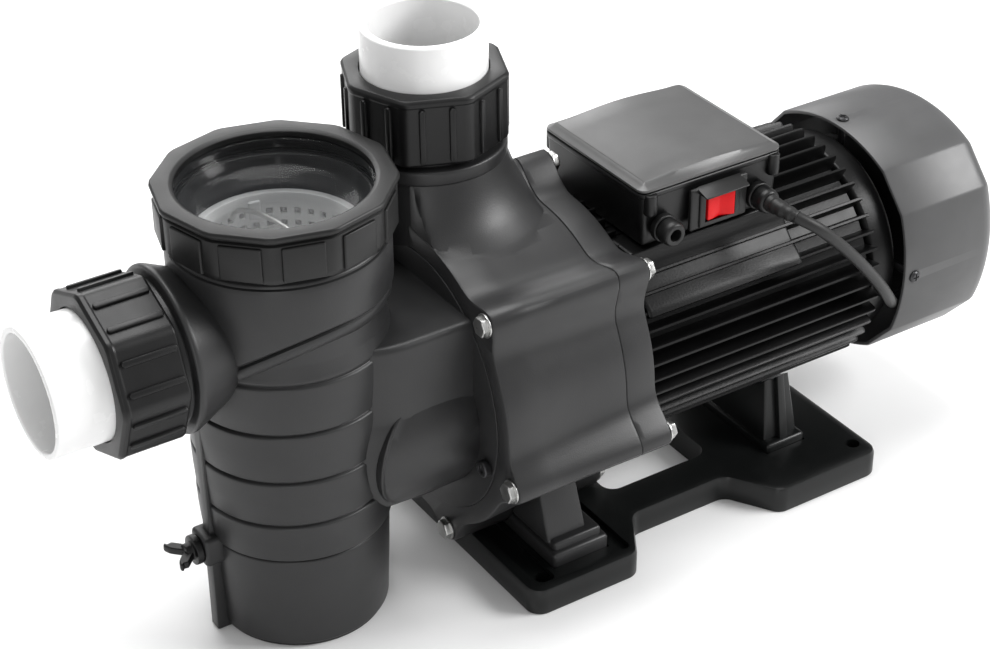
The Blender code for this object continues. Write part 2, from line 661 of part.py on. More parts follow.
def casing_bolts():
    """Long bolts with a hexagonal head in front and a nut behind."""
    for number, angle in enumerate(BOSS_ANGLES, 1):
        y, z = around_axis(BOSS_CIRCLE, angle)
        name = f"casing_bolt_{number}"
        bolt = prism(name, STEEL, 8, 3 * MM, CASE_FRONT - 2 * MM, FLANGE_REAR + 2 * MM, (y, z))
        head = prism(name + "_head", None, 6, 5.6 * MM, CASE_FRONT - 4.3 * MM, CASE_FRONT - GAP, (y, z))
        nut = prism(name + "_nut", None, 6, 5.6 * MM, FLANGE_REAR + GAP, FLANGE_REAR + 5 * MM, (y, z))
        join(bolt, head, nut)


def cover_screws():
    for number, angle in enumerate(COVER_SCREW_ANGLES, 1):
        y, z = around_axis(COVER_SCREW_CIRCLE, angle)
        seat = CASE_FRONT - 3 * GAP
        profile = [(0, CASE_FRONT - 5 * MM), (4.6 * MM, CASE_FRONT - 5 * MM), (4.6 * MM, seat), (2.2 * MM, seat),
                   (2.2 * MM, 8 * MM), (0, 8 * MM)]
        turned_x(f"cover_screw_{number}", STEEL, profile, z, y, steps=8)


def impeller():
    """A closed impeller: back plate, hub, six swept vanes and a front shroud with its eye."""
    wheel = turned_x("impeller", BLACK, [(0, 20 * MM), (13 * MM, 20 * MM), (16 * MM, 31 * MM), (53 * MM, 31 * MM),
                                         (53 * MM, 34 * MM), (13 * MM, 34 * MM), (13 * MM, 38 * MM), (0, 38 * MM)],
                     steps=24)
    shroud = turned_x("impeller_shroud", None, [(22 * MM, 6 * MM), (25 * MM, 6 * MM), (27 * MM, 17 * MM),
                                                (53 * MM, 21 * MM), (53 * MM, 23.5 * MM), (25 * MM, 20 * MM),
                                                (22 * MM, 17 * MM)], steps=24)
    vanes = []
    for k in range(6):
        sweep = tau * k / 6
        path = [(12 * MM + 40 * MM * t, sweep - 1.0 * t) for t in (0, 0.5, 1)]
        outer = [(r * cos(a), r * sin(a)) for r, a in path]
        inner = [((r + 0.4 * MM) * cos(a + 2.2 * MM / r), (r + 0.4 * MM) * sin(a + 2.2 * MM / r)) for r, a in path]
        vanes.append(plate("vane", None, [outer + inner[::-1]], 18 * MM, 32 * MM, TURN_TO_X, (0, 0, AXIS_Z)))
    join(wheel, *vanes, shroud)
    return cut(wheel, prism("impeller_hole", None, 16, 6.3 * MM, 0, 60 * MM, (0, AXIS_Z)))


def impeller_nut():
    nut = prism("impeller_nut", STEEL, 6, 9.5 * MM, 12 * MM, 19.7 * MM, (0, AXIS_Z))
    return cut(nut, prism("nut_hole", None, 16, 6.3 * MM, 5 * MM, 30 * MM, (0, AXIS_Z)))


def shaft_seal():
    turned_x("seal_seat", CERAMIC, ring(9 * MM, 13.7 * MM, 46 * MM, 53.3 * MM), steps=20)
    turned_x("seal_rotor", RUBBER, [(6.4 * MM, 38.3 * MM), (11 * MM, 38.3 * MM), (12.5 * MM, 41 * MM),
                                    (12.5 * MM, 45.7 * MM), (9 * MM, 45.7 * MM), (9 * MM, 42 * MM),
                                    (6.4 * MM, 42 * MM)], steps=16)


# ---------------------------------------------------------------- motor

def motor_shaft():
    turned_x("motor_shaft", STEEL, [(0, 10 * MM), (6 * MM, 10 * MM), (6 * MM, 56 * MM), (8.5 * MM, 57 * MM),
                                    (8.5 * MM, 269 * MM), (7 * MM, 269 * MM), (7 * MM, 306 * MM), (0, 306 * MM)],
             steps=16)


def bearing(name, start):
    end = start + 12 * MM
    turned_x(name + "_outer", STEEL, ring(16.8 * MM, 20 * MM, start, end), steps=20)
    turned_x(name + "_inner", STEEL, ring(8.8 * MM, 12 * MM, start, end), steps=20)


def stator():
    """A lamination pack with open slots for the winding."""
    bore, slot_top, half = 34.3 * MM, 47 * MM, radians(6)
    inner = []
    for k in range(STATOR_SLOTS):
        middle = tau * k / STATOR_SLOTS
        for offset, radius in ((-half * 1.6, bore), (-half, bore), (-half, slot_top), (half, slot_top), (half, bore)):
            inner.append((radius * cos(middle + offset), radius * sin(middle + offset)))
    plate("stator", STEEL, [circle(0, 0, MOTOR_BORE - 0.6 * MM, FIN_COUNT), inner], 108 * MM, 192 * MM, TURN_TO_X,
          (0, 0, AXIS_Z))


def stator_winding():
    """Two end rings and the bars that run through the stator's slots between them."""
    winding = turned_x("stator_winding", COPPER, ring(37 * MM, 50 * MM, 92 * MM, 107.6 * MM), steps=STATOR_SLOTS * 2)
    rear = turned_x("winding_rear", None, ring(37 * MM, 50 * MM, 192.4 * MM, 208 * MM), steps=STATOR_SLOTS * 2)
    slots = [tau * k / STATOR_SLOTS for k in range(STATOR_SLOTS)]
    sizes = [(3.2 * MM, 100 * MM, 200 * MM, *around_axis(42.5 * MM, angle), 6) for angle in slots]
    join(winding, bars("winding_bars", sizes), rear)


def rotor():
    turned_x("rotor", STEEL, ring(8.8 * MM, 33.8 * MM, 106 * MM, 194 * MM))


def motor_housing():
    """A tube with lengthwise cooling fins and a flat seat for the terminal box."""
    half = radians(1.15)
    outline = []
    for k in range(FIN_COUNT):
        middle = tau * (k + 0.5) / FIN_COUNT
        for offset, radius in ((-1.3, MOTOR_WALL), (-1, FIN_RADIUS), (1, FIN_RADIUS), (1.3, MOTOR_WALL)):
            outline.append((radius * cos(middle + half * offset), radius * sin(middle + half * offset)))
    housing = plate("motor_housing", CAST, [outline, circle(0, 0, MOTOR_BORE, FIN_COUNT)], MOTOR_FRONT, MOTOR_REAR,
                    TURN_TO_X, (0, 0, AXIS_Z))
    top = BOX_FLOOR - GAP
    seat = block("box_seat", None, (BOX_X[0] + 6 * MM, -36 * MM, top - 20 * MM), (BOX_X[1] - 6 * MM, 36 * MM, top - MM))
    relief = prism("seat_relief", None, FIN_COUNT, MOTOR_WALL - 2 * MM, BOX_X[0], BOX_X[1], (0, AXIS_Z))
    cut(seat, relief)
    clearance = block("box_clearance", None, (BOX_X[0] - MM, -50 * MM, top), (BOX_X[1] + MM, 50 * MM, top + 20 * MM))
    return cut(join(housing, seat), clearance)


def rear_shield():
    """The motor's rear end cap, with a bearing seat and four lugs for the fan cover's screws."""
    shield = turned_x("rear_shield", CAST, [(0, SHIELD_REAR - 8 * MM), (MOTOR_BORE, SHIELD_REAR - 8 * MM),
                                            (MOTOR_BORE, MOTOR_REAR + GAP), (MOTOR_WALL, MOTOR_REAR + GAP),
                                            (MOTOR_WALL, SHIELD_REAR), (27 * MM, SHIELD_REAR + 2 * MM),
                                            (27 * MM, SHIELD_REAR + 7 * MM), (0, SHIELD_REAR + 7 * MM)])
    join(shield, spokes("shield_lugs", None, (SHIELD_REAR - 6 * MM, -6 * MM, 24 * MM), (272 * MM, 6 * MM, 61 * MM), 4))
    bore = turned_x("shield_bore", None, [(0, 240 * MM), (20.3 * MM, 240 * MM), (20.3 * MM, 267.3 * MM),
                                          (10 * MM, 267.3 * MM), (10 * MM, 275 * MM), (0, 275 * MM)], steps=24)
    return cut(shield, cowl_screw_holes(), bore)


def cowl_screw_holes():
    reach = 2.6 * MM
    return spokes("cowl_screw_holes", None, (COWL_SCREW_X - reach, -reach, 44 * MM), (COWL_SCREW_X + reach, reach, 80 * MM),
                  4, sides=8)


def fan_cover_screws():
    """Four pan-head screws, at the cover's top, its bottom and its two sides."""
    for k in range(4):
        surface = COWL_TOP[1] + COWL_TOP[2] if k % 2 == 0 else COWL_SIDE[1] + COWL_SIDE[2]
        turned(f"fan_cover_screw_{k + 1}", STEEL, [(0, 50 * MM), (2.1 * MM, 50 * MM), (2.1 * MM, surface + GAP),
                                                   (3.6 * MM, surface + GAP), (3 * MM, surface + 2 * MM),
                                                   (0, surface + 2 * MM)],
               (COWL_SCREW_X, 0, AXIS_Z), Matrix.Rotation(pi / 2 * k, 4, "X"), steps=8)


def cooling_fan():
    fan = turned_x("cooling_fan", BLACK, [(7.3 * MM, 276 * MM), (14 * MM, 276 * MM), (14 * MM, 279 * MM),
                                          (52 * MM, 279 * MM), (52 * MM, 281 * MM), (14 * MM, 281 * MM),
                                          (14 * MM, 303 * MM), (7.3 * MM, 303 * MM)], steps=21)
    return join(fan, spokes("fan_blades", None, (280 * MM, -1.2 * MM, 12 * MM), (302 * MM, 1.2 * MM, 51 * MM), 7))


def bow(half, depth, rise, count=8):
    """Points on an arc over a chord from -half to half, depth away, that rises by rise."""
    radius = (half ** 2 + rise ** 2) / (2 * rise)
    reach = atan2(half, radius - rise)
    angles = [reach * (2 * k / count - 1) for k in range(count + 1)]
    return [(radius * sin(a), depth + rise - radius * (1 - cos(a))) for a in angles]


def cowl_section(x, inset=0.0):
    """Four bowed sides that meet in flat chamfers."""
    top = bow(*COWL_TOP)
    side = bow(*COWL_SIDE)
    loop = list(top)
    loop += [(d, -h) for h, d in side]
    loop += [(-y, -z) for y, z in top]
    loop += [(-d, h) for h, d in side]
    shrink = 1 - inset / hypot(COWL_TOP[0], COWL_TOP[1])
    return [(x, y * shrink, AXIS_Z + z * shrink) for y, z in loop]


def fan_cover():
    """A bowed shell over the fan, open in front, with air slots in its rear wall."""
    corner = COWL_REAR - COWL_SHOULDER
    sections = [cowl_section(COWL_FRONT)]
    for k in range(4):
        angle = pi / 2 * k / 3
        sections.append(cowl_section(COWL_SHOULDER + corner * sin(angle), corner * (1 - cos(angle))))
    cover = loft("fan_cover", GREY, sections, capped=False)
    rear = bmesh.new()
    rear.from_mesh(cover.data)
    edge = [e for e in rear.edges if e.is_boundary and all(v.co.x > COWL_REAR - MM for v in e.verts)]
    bmesh.ops.edgeloop_fill(rear, edges=edge)
    bmesh.ops.recalc_face_normals(rear, faces=rear.faces)
    outward = sum((f.normal.x for f in rear.faces if len(f.verts) > 4), 0.0)
    if outward < 0:
        bmesh.ops.reverse_faces(rear, faces=rear.faces)
    rear.to_mesh(cover.data)
    rear.free()
    shell = cover.modifiers.new("wall", "SOLIDIFY")
    shell.thickness = COWL_WALL
    shell.offset = -1
    slots = []
    for k in range(-3, 4):
        height = AXIS_Z + 13 * MM * k
        half = sqrt((50 * MM) ** 2 - (13 * MM * k) ** 2)
        slots.append(block("air_slot", None, (COWL_REAR - 6 * MM, -half, height - 3 * MM),
                           (COWL_REAR + 3 * MM, half, height + 3 * MM)))
    return cut(cover, *slots, cowl_screw_holes())


# ---------------------------------------------------------------- terminal box

def box_outline(inset):
    low, high = BOX_X[0] + inset, BOX_X[1] - inset
    half = BOX_HALF - inset
    return rounded([(low, -half), (high, -half), (high, half), (low, half)], 4 * MM)


def terminal_box():
    box = plate("terminal_box", BLACK, [box_outline(0)], BOX_FLOOR, BOX_SEAM - GAP)
    hollow = plate("box_hollow", None, [box_outline(3 * MM)], BOX_FLOOR + 3 * MM, BOX_SEAM + 5 * MM)
    window = block("switch_window", None, (SWITCH_X - 11.2 * MM, -BOX_HALF - 5 * MM, SWITCH_Z - 9.2 * MM),
                   (SWITCH_X + 11.2 * MM, -BOX_HALF + 8 * MM, SWITCH_Z + 9.2 * MM))
    glands = [prism("gland_hole", None, 20, 5.4 * MM, -BOX_HALF - 5 * MM, -BOX_HALF + 8 * MM, (x, GLAND_Z), "Y")
              for x in GLAND_X]
    return cut(box, hollow, window, *glands)


def terminal_box_lid():
    """A cap with a chamfered edge; its middle stands a little higher than its two sides."""
    def section(z, inset, crown=0.0):
        outline = box_outline(inset)
        loop = []
        for (x, y), (next_x, next_y) in zip(outline, outline[1:] + outline[:1]):
            pieces = 6 if abs(next_x - x) > 20 * MM else 1
            for k in range(pieces):
                along = x + (next_x - x) * k / pieces
                across = (along - BOX_X[0]) / (BOX_X[1] - BOX_X[0])
                loop.append((along, y + (next_y - y) * k / pieces, z + crown * sin(pi * across) ** 2))
        return loop
    crown = 2.4 * MM
    lid = loft("terminal_box_lid", GREY, [section(BOX_SEAM, 0), section(BOX_SEAM + 2 * MM, 0),
                                          section(LID_TOP - crown, 4 * MM, crown)])
    hollow = plate("lid_hollow", None, [box_outline(5 * MM)], BOX_SEAM - 2 * MM, BOX_SEAM + 2 * MM)
    return cut(lid, hollow)


def box_contents():
    """The run capacitor lies behind the terminal block."""
    floor = BOX_FLOOR + 3 * MM
    prism("run_capacitor", GREY, 28, 12.5 * MM, BOX_X[0] + 12 * MM, BOX_X[1] - 14 * MM, (24 * MM, floor + 13 * MM))
    terminals = block("terminal_block", WHITE, (BOX_X[0] + 24 * MM, -22 * MM, floor + GAP),
                      (BOX_X[0] + 66 * MM, -4 * MM, floor + 13 * MM))
    wells = [prism("terminal_well", None, 10, 2.4 * MM, floor + 8 * MM, floor + 20 * MM,
                   (BOX_X[0] + (30 + 10 * k) * MM, -13 * MM), "Z") for k in range(4)]
    cut(terminals, *wells)


def switch_plate():
    """The switch's bezel: a plate on the box wall with a sloping hood over the rocker."""
    wall = -BOX_HALF - GAP
    bezel = block("switch_plate", CHARCOAL, (SWITCH_X - 18.6 * MM, wall - 3 * MM, SWITCH_Z - 11.5 * MM),
                  (SWITCH_X + 18.6 * MM, wall, SWITCH_Z + 13 * MM))
    hood = block("switch_hood", None, (SWITCH_X - 14 * MM, wall - 11 * MM, SWITCH_Z + 10 * MM),
                 (SWITCH_X + 14 * MM, wall - 1 * MM, SWITCH_Z + 13 * MM))
    body = block("switch_body", None, (SWITCH_X - 10.8 * MM, wall - 2 * MM, SWITCH_Z - 8.8 * MM),
                 (SWITCH_X + 10.8 * MM, wall + 18 * MM, SWITCH_Z + 8.8 * MM))
    pocket = block("rocker_pocket", None, (SWITCH_X - 9.8 * MM, wall - 6 * MM, SWITCH_Z - 7.7 * MM),
                   (SWITCH_X + 9.8 * MM, wall + 10 * MM, SWITCH_Z + 7.7 * MM))
    return cut(join(bezel, hood, body), pocket)


def switch_rocker():
    """A rocker on an upright pivot: its two faces meet in a shallow valley."""
    x, y, z = ROCKER_PIVOT
    half, front = 8.2 * MM, -8.5 * MM
    outline = [(-half, front + 1.8 * MM), (0, front + 3 * MM), (half, front), (half - 1 * MM, 2 * MM), (0, 5 * MM),
               (1 * MM - half, 2 * MM)]
    plate("switch_rocker", RED, [outline], -7.2 * MM, 7.2 * MM, None, (x, y, z))


def cable_gland(name, x, cable_hole):
    """A threaded stem through the wall, a hexagonal body and a domed nut."""
    wall = -BOX_HALF - GAP
    toward = Matrix.Rotation(pi / 2, 4, "X")
    profile = [(0, -10 * MM), (5.1 * MM, -10 * MM), (5.1 * MM, 0), (7.6 * MM, 0), (7.6 * MM, 4 * MM), (6.8 * MM, 5 * MM),
               (6.8 * MM, 10 * MM), (5.8 * MM, 12.5 * MM), (0, 12.5 * MM)]
    gland = turned(name, BLACK, profile, (x, wall, GLAND_Z), toward, steps=16)
    hole = turned(name + "_hole", None, solid(cable_hole, 5 * MM, 20 * MM), (x, wall, GLAND_Z), toward, steps=12)
    return cut(gland, hole)


# ---------------------------------------------------------------- power cord

CORD_ROUTE = [(169, -51.4, 183.5), (169, -58, 183.6), (169.6, -66, 183.3), (173.5, -74.5, 181.2),
              (183, -81, 174.5), (197, -82.4, 161.5), (213, -81, 145), (228, -78, 128.5), (241, -73.5, 113.5),
              (250, -68.6, 103), (257, -63.4, 95.5), (262.5, -59.3, 90.5)]


def power_cord():
    """The cord runs from its gland, in front of the fins, into the mouth of the fan cover."""
    route = [Vector(p) * MM for p in CORD_ROUTE]
    wire("power_cord", RUBBER, smooth_run(route, 4), CORD_RADIUS)


def build():
    base_plate()
    pump_foot()
    motor_foot()
    strainer_body()
    lid_ring()
    strainer_lid()
    o_ring("lid_o_ring", 49.1 * MM, 0.95 * MM, (POT_X, 0, 239.05 * MM))
    basket()
    basket_handle()
    drain_plug()
    inlet_union()
    outlet_union()
    volute_casing()
    motor_flange()
    seal_plate()
    casing_bolts()
    cover_screws()
    impeller()
    impeller_nut()
    shaft_seal()
    motor_shaft()
    bearing("front_bearing", 67 * MM)
    bearing("rear_bearing", 255 * MM)
    stator()
    stator_winding()
    rotor()
    motor_housing()
    rear_shield()
    cooling_fan()
    fan_cover()
    fan_cover_screws()
    terminal_box()
    terminal_box_lid()
    box_contents()
    switch_plate()
    switch_rocker()
    cable_gland("spare_gland", GLAND_X[0], 3.4 * MM)
    cable_gland("cord_gland", GLAND_X[1], CORD_RADIUS + GAP)
    power_cord()


build()
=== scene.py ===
"""Looks of the pool pump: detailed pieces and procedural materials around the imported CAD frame.

Shapes are drawn in millimetres at the CAD's own stations (x from the base plate's front edge, y from
the motor axis, z from the ground) and are moved into the row frame, in metres, when they become objects.
"""
from math import acos, atan2, cos, exp, hypot, pi, radians, sin, sqrt, tan, tau

import bmesh
import bpy
from mathutils import Matrix, Vector


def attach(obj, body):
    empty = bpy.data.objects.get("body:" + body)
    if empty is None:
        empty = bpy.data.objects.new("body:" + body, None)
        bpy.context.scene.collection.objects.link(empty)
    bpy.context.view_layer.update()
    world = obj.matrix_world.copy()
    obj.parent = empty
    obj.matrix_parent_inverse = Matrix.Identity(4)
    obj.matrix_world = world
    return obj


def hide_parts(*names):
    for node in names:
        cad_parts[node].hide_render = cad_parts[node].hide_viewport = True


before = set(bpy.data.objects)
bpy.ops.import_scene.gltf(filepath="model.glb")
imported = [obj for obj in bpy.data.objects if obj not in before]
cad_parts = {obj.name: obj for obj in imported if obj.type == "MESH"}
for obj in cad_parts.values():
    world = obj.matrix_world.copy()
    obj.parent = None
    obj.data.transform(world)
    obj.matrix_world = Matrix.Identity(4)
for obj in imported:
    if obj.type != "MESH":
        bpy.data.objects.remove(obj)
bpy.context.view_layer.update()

BASE_FRONT = 52.7
TO_ROW = Matrix.Translation((-BASE_FRONT / 1000, 0, 0)) @ Matrix.Diagonal((0.001, 0.001, 0.001, 1))
AXIS_Z = 111
POT_X = -90.8
NECK_Z = 178
NECK_BORE = 29.5
COLLAR_TOP = 222
BELLY, BELLY_Z = 56, 107
DRAIN_Z = 54
OUTLET = (15, 35.5)
OUTLET_SEAT, OUTLET_TOP = 246.5, 292
CASE_FRONT, CASE_REAR = -13, 62.7
BOSS_REACH, BOSS_SPREAD = 97.5, radians(7.5)
BOLT_CIRCLE = 89.5
BOLT_ANGLES = [radians(15 + 60 * k) for k in range(6)]
SCREW_CIRCLE = 68
SCREW_ANGLES = [radians(angle) for angle in (198, 270, 342)]
PUMP_FOOT = (38.5, 17.5, 75)
MOTOR_FOOT = (193.5, 13.5, 56)
FIN_WALL, FIN_TIP = 58, 69
SHAFT_SEAT = 20.3
COWL_FRONT, COWL_HALF, COWL_SCREW_X = 261, 69, 267.5
BOX_X = (94, 186)
BOX_HALF = 45
BOX_FLOOR = 172.5
SWITCH = (142, 187)
GLAND_X = (107, 169)
GLAND_Z = 183.5
PUMP = "pump_body"


# ---------------------------------------------------------------- camera, stage and light

def camera():
    """A long lens from the strainer end, a little above the pump."""
    yaw, pitch, roll = radians(57.2), radians(32.4), radians(-0.5)
    ahead = Vector((cos(yaw), sin(yaw), 0))
    level = Vector((ahead.y, -ahead.x, 0))
    forward = ahead * cos(pitch) - Vector((0, 0, sin(pitch)))
    above = level.cross(forward)
    right = level * cos(roll) + above * sin(roll)
    up = above * cos(roll) - level * sin(roll)
    data = bpy.data.cameras.new("camera")
    data.lens = 81.7
    data.sensor_width = 36
    data.clip_end = 20
    made = bpy.data.objects.new("camera", data)
    turn = Matrix((right, up, -forward)).transposed().to_4x4()
    made.matrix_world = Matrix.Translation((-0.5678, -0.8555, 0.770)) @ turn
    bpy.context.scene.collection.objects.link(made)
    bpy.context.scene.camera = made


def area_light(name, place, aim, size, power, colour=(1, 1, 1)):
    data = bpy.data.lights.new(name, "AREA")
    data.shape = "RECTANGLE"
    data.size, data.size_y = size
    data.energy = power
    data.color = colour
    made = bpy.data.objects.new(name, data)
    made.location = place
    made.rotation_euler = (Vector(aim) - Vector(place)).to_track_quat("-Z", "Y").to_euler()
    bpy.context.scene.collection.objects.link(made)


def studio():
    """Four soft area lights in a pale room, over a paper floor."""
    bpy.context.scene.view_settings.view_transform = "Standard"
    area_light("key_right", (1.25, -0.85, 1.05), (0.05, 0, 0.1), (0.7, 0.7), 26)
    area_light("top", (0.1, 0.35, 1.5), (0, 0, 0.1), (1.0, 1.0), 22)
    area_light("left_strip", (-0.85, -1.1, 0.5), (-0.14, 0, 0.12), (0.14, 0.9), 2.5)
    area_light("rear_rim", (0.3, 1.4, 0.8), (0.05, 0, 0.15), (1.2, 0.6), 9)
    world = bpy.data.worlds.new("studio")
    world.use_nodes = True
    background = world.node_tree.nodes["Background"]
    background.inputs["Color"].default_value = (1, 1, 1, 1)
    background.inputs["Strength"].default_value = 0.5
    bpy.context.scene.world = world
    mesh = bpy.data.meshes.new("floor")
    mesh.from_pydata([(-6, -6, 0), (6, -6, 0), (6, 6, 0), (-6, 6, 0)], [], [(0, 1, 2, 3)])
    floor = bpy.data.objects.new("floor", mesh)
    floor.location.z = -0.0002
    bpy.context.scene.collection.objects.link(floor)
    mesh.materials.append(grainy("floor_paper", (0.9, 0.9, 0.9), (0.92, 0.92, 0.92), 0.8, 0.02))


# ---------------------------------------------------------------- materials

def grainy(name, dark, light, rough, bump=0.1, blotch=22.0, grain=1500.0, metallic=0.0, coat=0.0,
        spread=0.06, depth=0.0002, specular=0.5):
    """Moulded or painted surface: slow blotches of colour and gloss over a fine grain."""
    made = bpy.data.materials.new(name)
    made.use_nodes = True
    nodes, links = made.node_tree.nodes, made.node_tree.links
    shader = nodes["Principled BSDF"]
    place = nodes.new("ShaderNodeTexCoord")

    def noise(scale, detail, distortion=0.0):
        texture = nodes.new("ShaderNodeTexNoise")
        texture.inputs["Scale"].default_value = scale
        texture.inputs["Detail"].default_value = detail
        texture.inputs["Distortion"].default_value = distortion
        links.new(place.outputs["Object"], texture.inputs["Vector"])
        return texture.outputs["Fac"]

    slow = noise(blotch, 5, 0.4)
    ramp = nodes.new("ShaderNodeValToRGB")
    ramp.color_ramp.elements[0].position = 0.3
    ramp.color_ramp.elements[0].color = (*dark, 1)
    ramp.color_ramp.elements[1].position = 0.72
    ramp.color_ramp.elements[1].color = (*light, 1)
    links.new(slow, ramp.inputs["Fac"])
    links.new(ramp.outputs["Color"], shader.inputs["Base Color"])
    gloss = nodes.new("ShaderNodeMapRange")
    gloss.inputs["To Min"].default_value = rough - spread
    gloss.inputs["To Max"].default_value = rough + spread
    links.new(noise(blotch * 4, 6), gloss.inputs["Value"])
    links.new(gloss.outputs["Result"], shader.inputs["Roughness"])
    if bump:
        height = nodes.new("ShaderNodeBump")
        height.inputs["Strength"].default_value = bump
        height.inputs["Distance"].default_value = depth
        links.new(noise(grain, 2), height.inputs["Height"])
        links.new(height.outputs["Normal"], shader.inputs["Normal"])
    shader.inputs["Metallic"].default_value = metallic
    shader.inputs["Coat Weight"].default_value = coat
    shader.inputs["Coat Roughness"].default_value = 0.12
    shader.inputs["Specular IOR Level"].default_value = specular
    made.diffuse_color = (*light, 1)
    return made


BODY = grainy("charcoal_plastic", (0.0125, 0.0125, 0.013), (0.0205, 0.0205, 0.021), 0.4, 0.28,
        specular=0.42)
NUT = grainy("black_plastic", (0.003, 0.003, 0.0032), (0.006, 0.006, 0.0062), 0.38, 0.2, specular=0.32)
RING = grainy("ring_plastic", (0.005, 0.005, 0.005), (0.009, 0.009, 0.009), 0.42, 0.2, specular=0.34)
BASE = grainy("base_plastic", (0.0025, 0.003, 0.003), (0.0055, 0.006, 0.006), 0.34, 0.25, specular=0.34)
COWL = grainy("cowl_paint", (0.055, 0.055, 0.056), (0.075, 0.075, 0.076), 0.38, 0.12, grain=2200,
        specular=0.42)
LID_PAINT = grainy("box_lid_paint", (0.055, 0.055, 0.055), (0.08, 0.08, 0.08), 0.33, 0.12, grain=2200)
CAST = grainy("black_casting", (0.0015, 0.0015, 0.0016), (0.0035, 0.0035, 0.0036), 0.36, 0.3, grain=900,
        specular=0.22)
PVC = grainy("white_pvc", (0.8, 0.8, 0.8), (0.87, 0.87, 0.865), 0.26, 0.04, coat=0.2)
PALE = grainy("basket_plastic", (0.5, 0.51, 0.51), (0.62, 0.63, 0.63), 0.42, 0.12)
RED = grainy("red_rocker", (0.52, 0.003, 0.005), (0.62, 0.005, 0.008), 0.34, 0.04, blotch=90, specular=0.16)
RUBBER = grainy("black_rubber", (0.007, 0.007, 0.007), (0.013, 0.013, 0.013), 0.48, 0.25, specular=0.35)
STEEL = grainy("zinc_steel", (0.42, 0.42, 0.41), (0.62, 0.62, 0.61), 0.3, 0.15, blotch=120, metallic=1.0)
DARK_STEEL = grainy("dark_steel", (0.03, 0.03, 0.032), (0.06, 0.06, 0.062), 0.35, 0.15, blotch=120,
        metallic=0.8)
LAMINATION = grainy("stator_steel", (0.18, 0.18, 0.19), (0.26, 0.26, 0.27), 0.45, 0.3, metallic=1.0)
COPPER = grainy("copper_wire", (0.45, 0.16, 0.07), (0.6, 0.25, 0.1), 0.3, 0.5, grain=700, metallic=1.0)
CERAMIC = grainy("seal_ceramic", (0.7, 0.68, 0.62), (0.8, 0.78, 0.72), 0.25, 0.05)
CAPACITOR = grainy("capacitor_shell", (0.6, 0.6, 0.58), (0.7, 0.7, 0.68), 0.3, 0.05)


def clear_plastic():
    """The lid: a glossy clear moulding that shows more reflection at a shallow angle."""
    made = grainy("clear_lid", (0.03, 0.032, 0.034), (0.05, 0.052, 0.055), 0.12, 0.02, spread=0.02)
    nodes, links = made.node_tree.nodes, made.node_tree.links
    shader = nodes["Principled BSDF"]
    shader.inputs["IOR"].default_value = 1.6
    edge = nodes.new("ShaderNodeLayerWeight")
    edge.inputs["Blend"].default_value = 0.3
    amount = nodes.new("ShaderNodeMapRange")
    amount.inputs["To Min"].default_value = 0.07
    amount.inputs["To Max"].default_value = 0.34
    links.new(edge.outputs["Facing"], amount.inputs["Value"])
    links.new(amount.outputs["Result"], shader.inputs["Alpha"])
    return made


CLEAR = clear_plastic()


# ---------------------------------------------------------------- shape building

def toward(axis, a, b, along):
    """A point whose first two values lie across the axis and whose third runs along it."""
    return {"X": (along, a, b), "Y": (a, along, b), "Z": (a, b, along)}[axis]


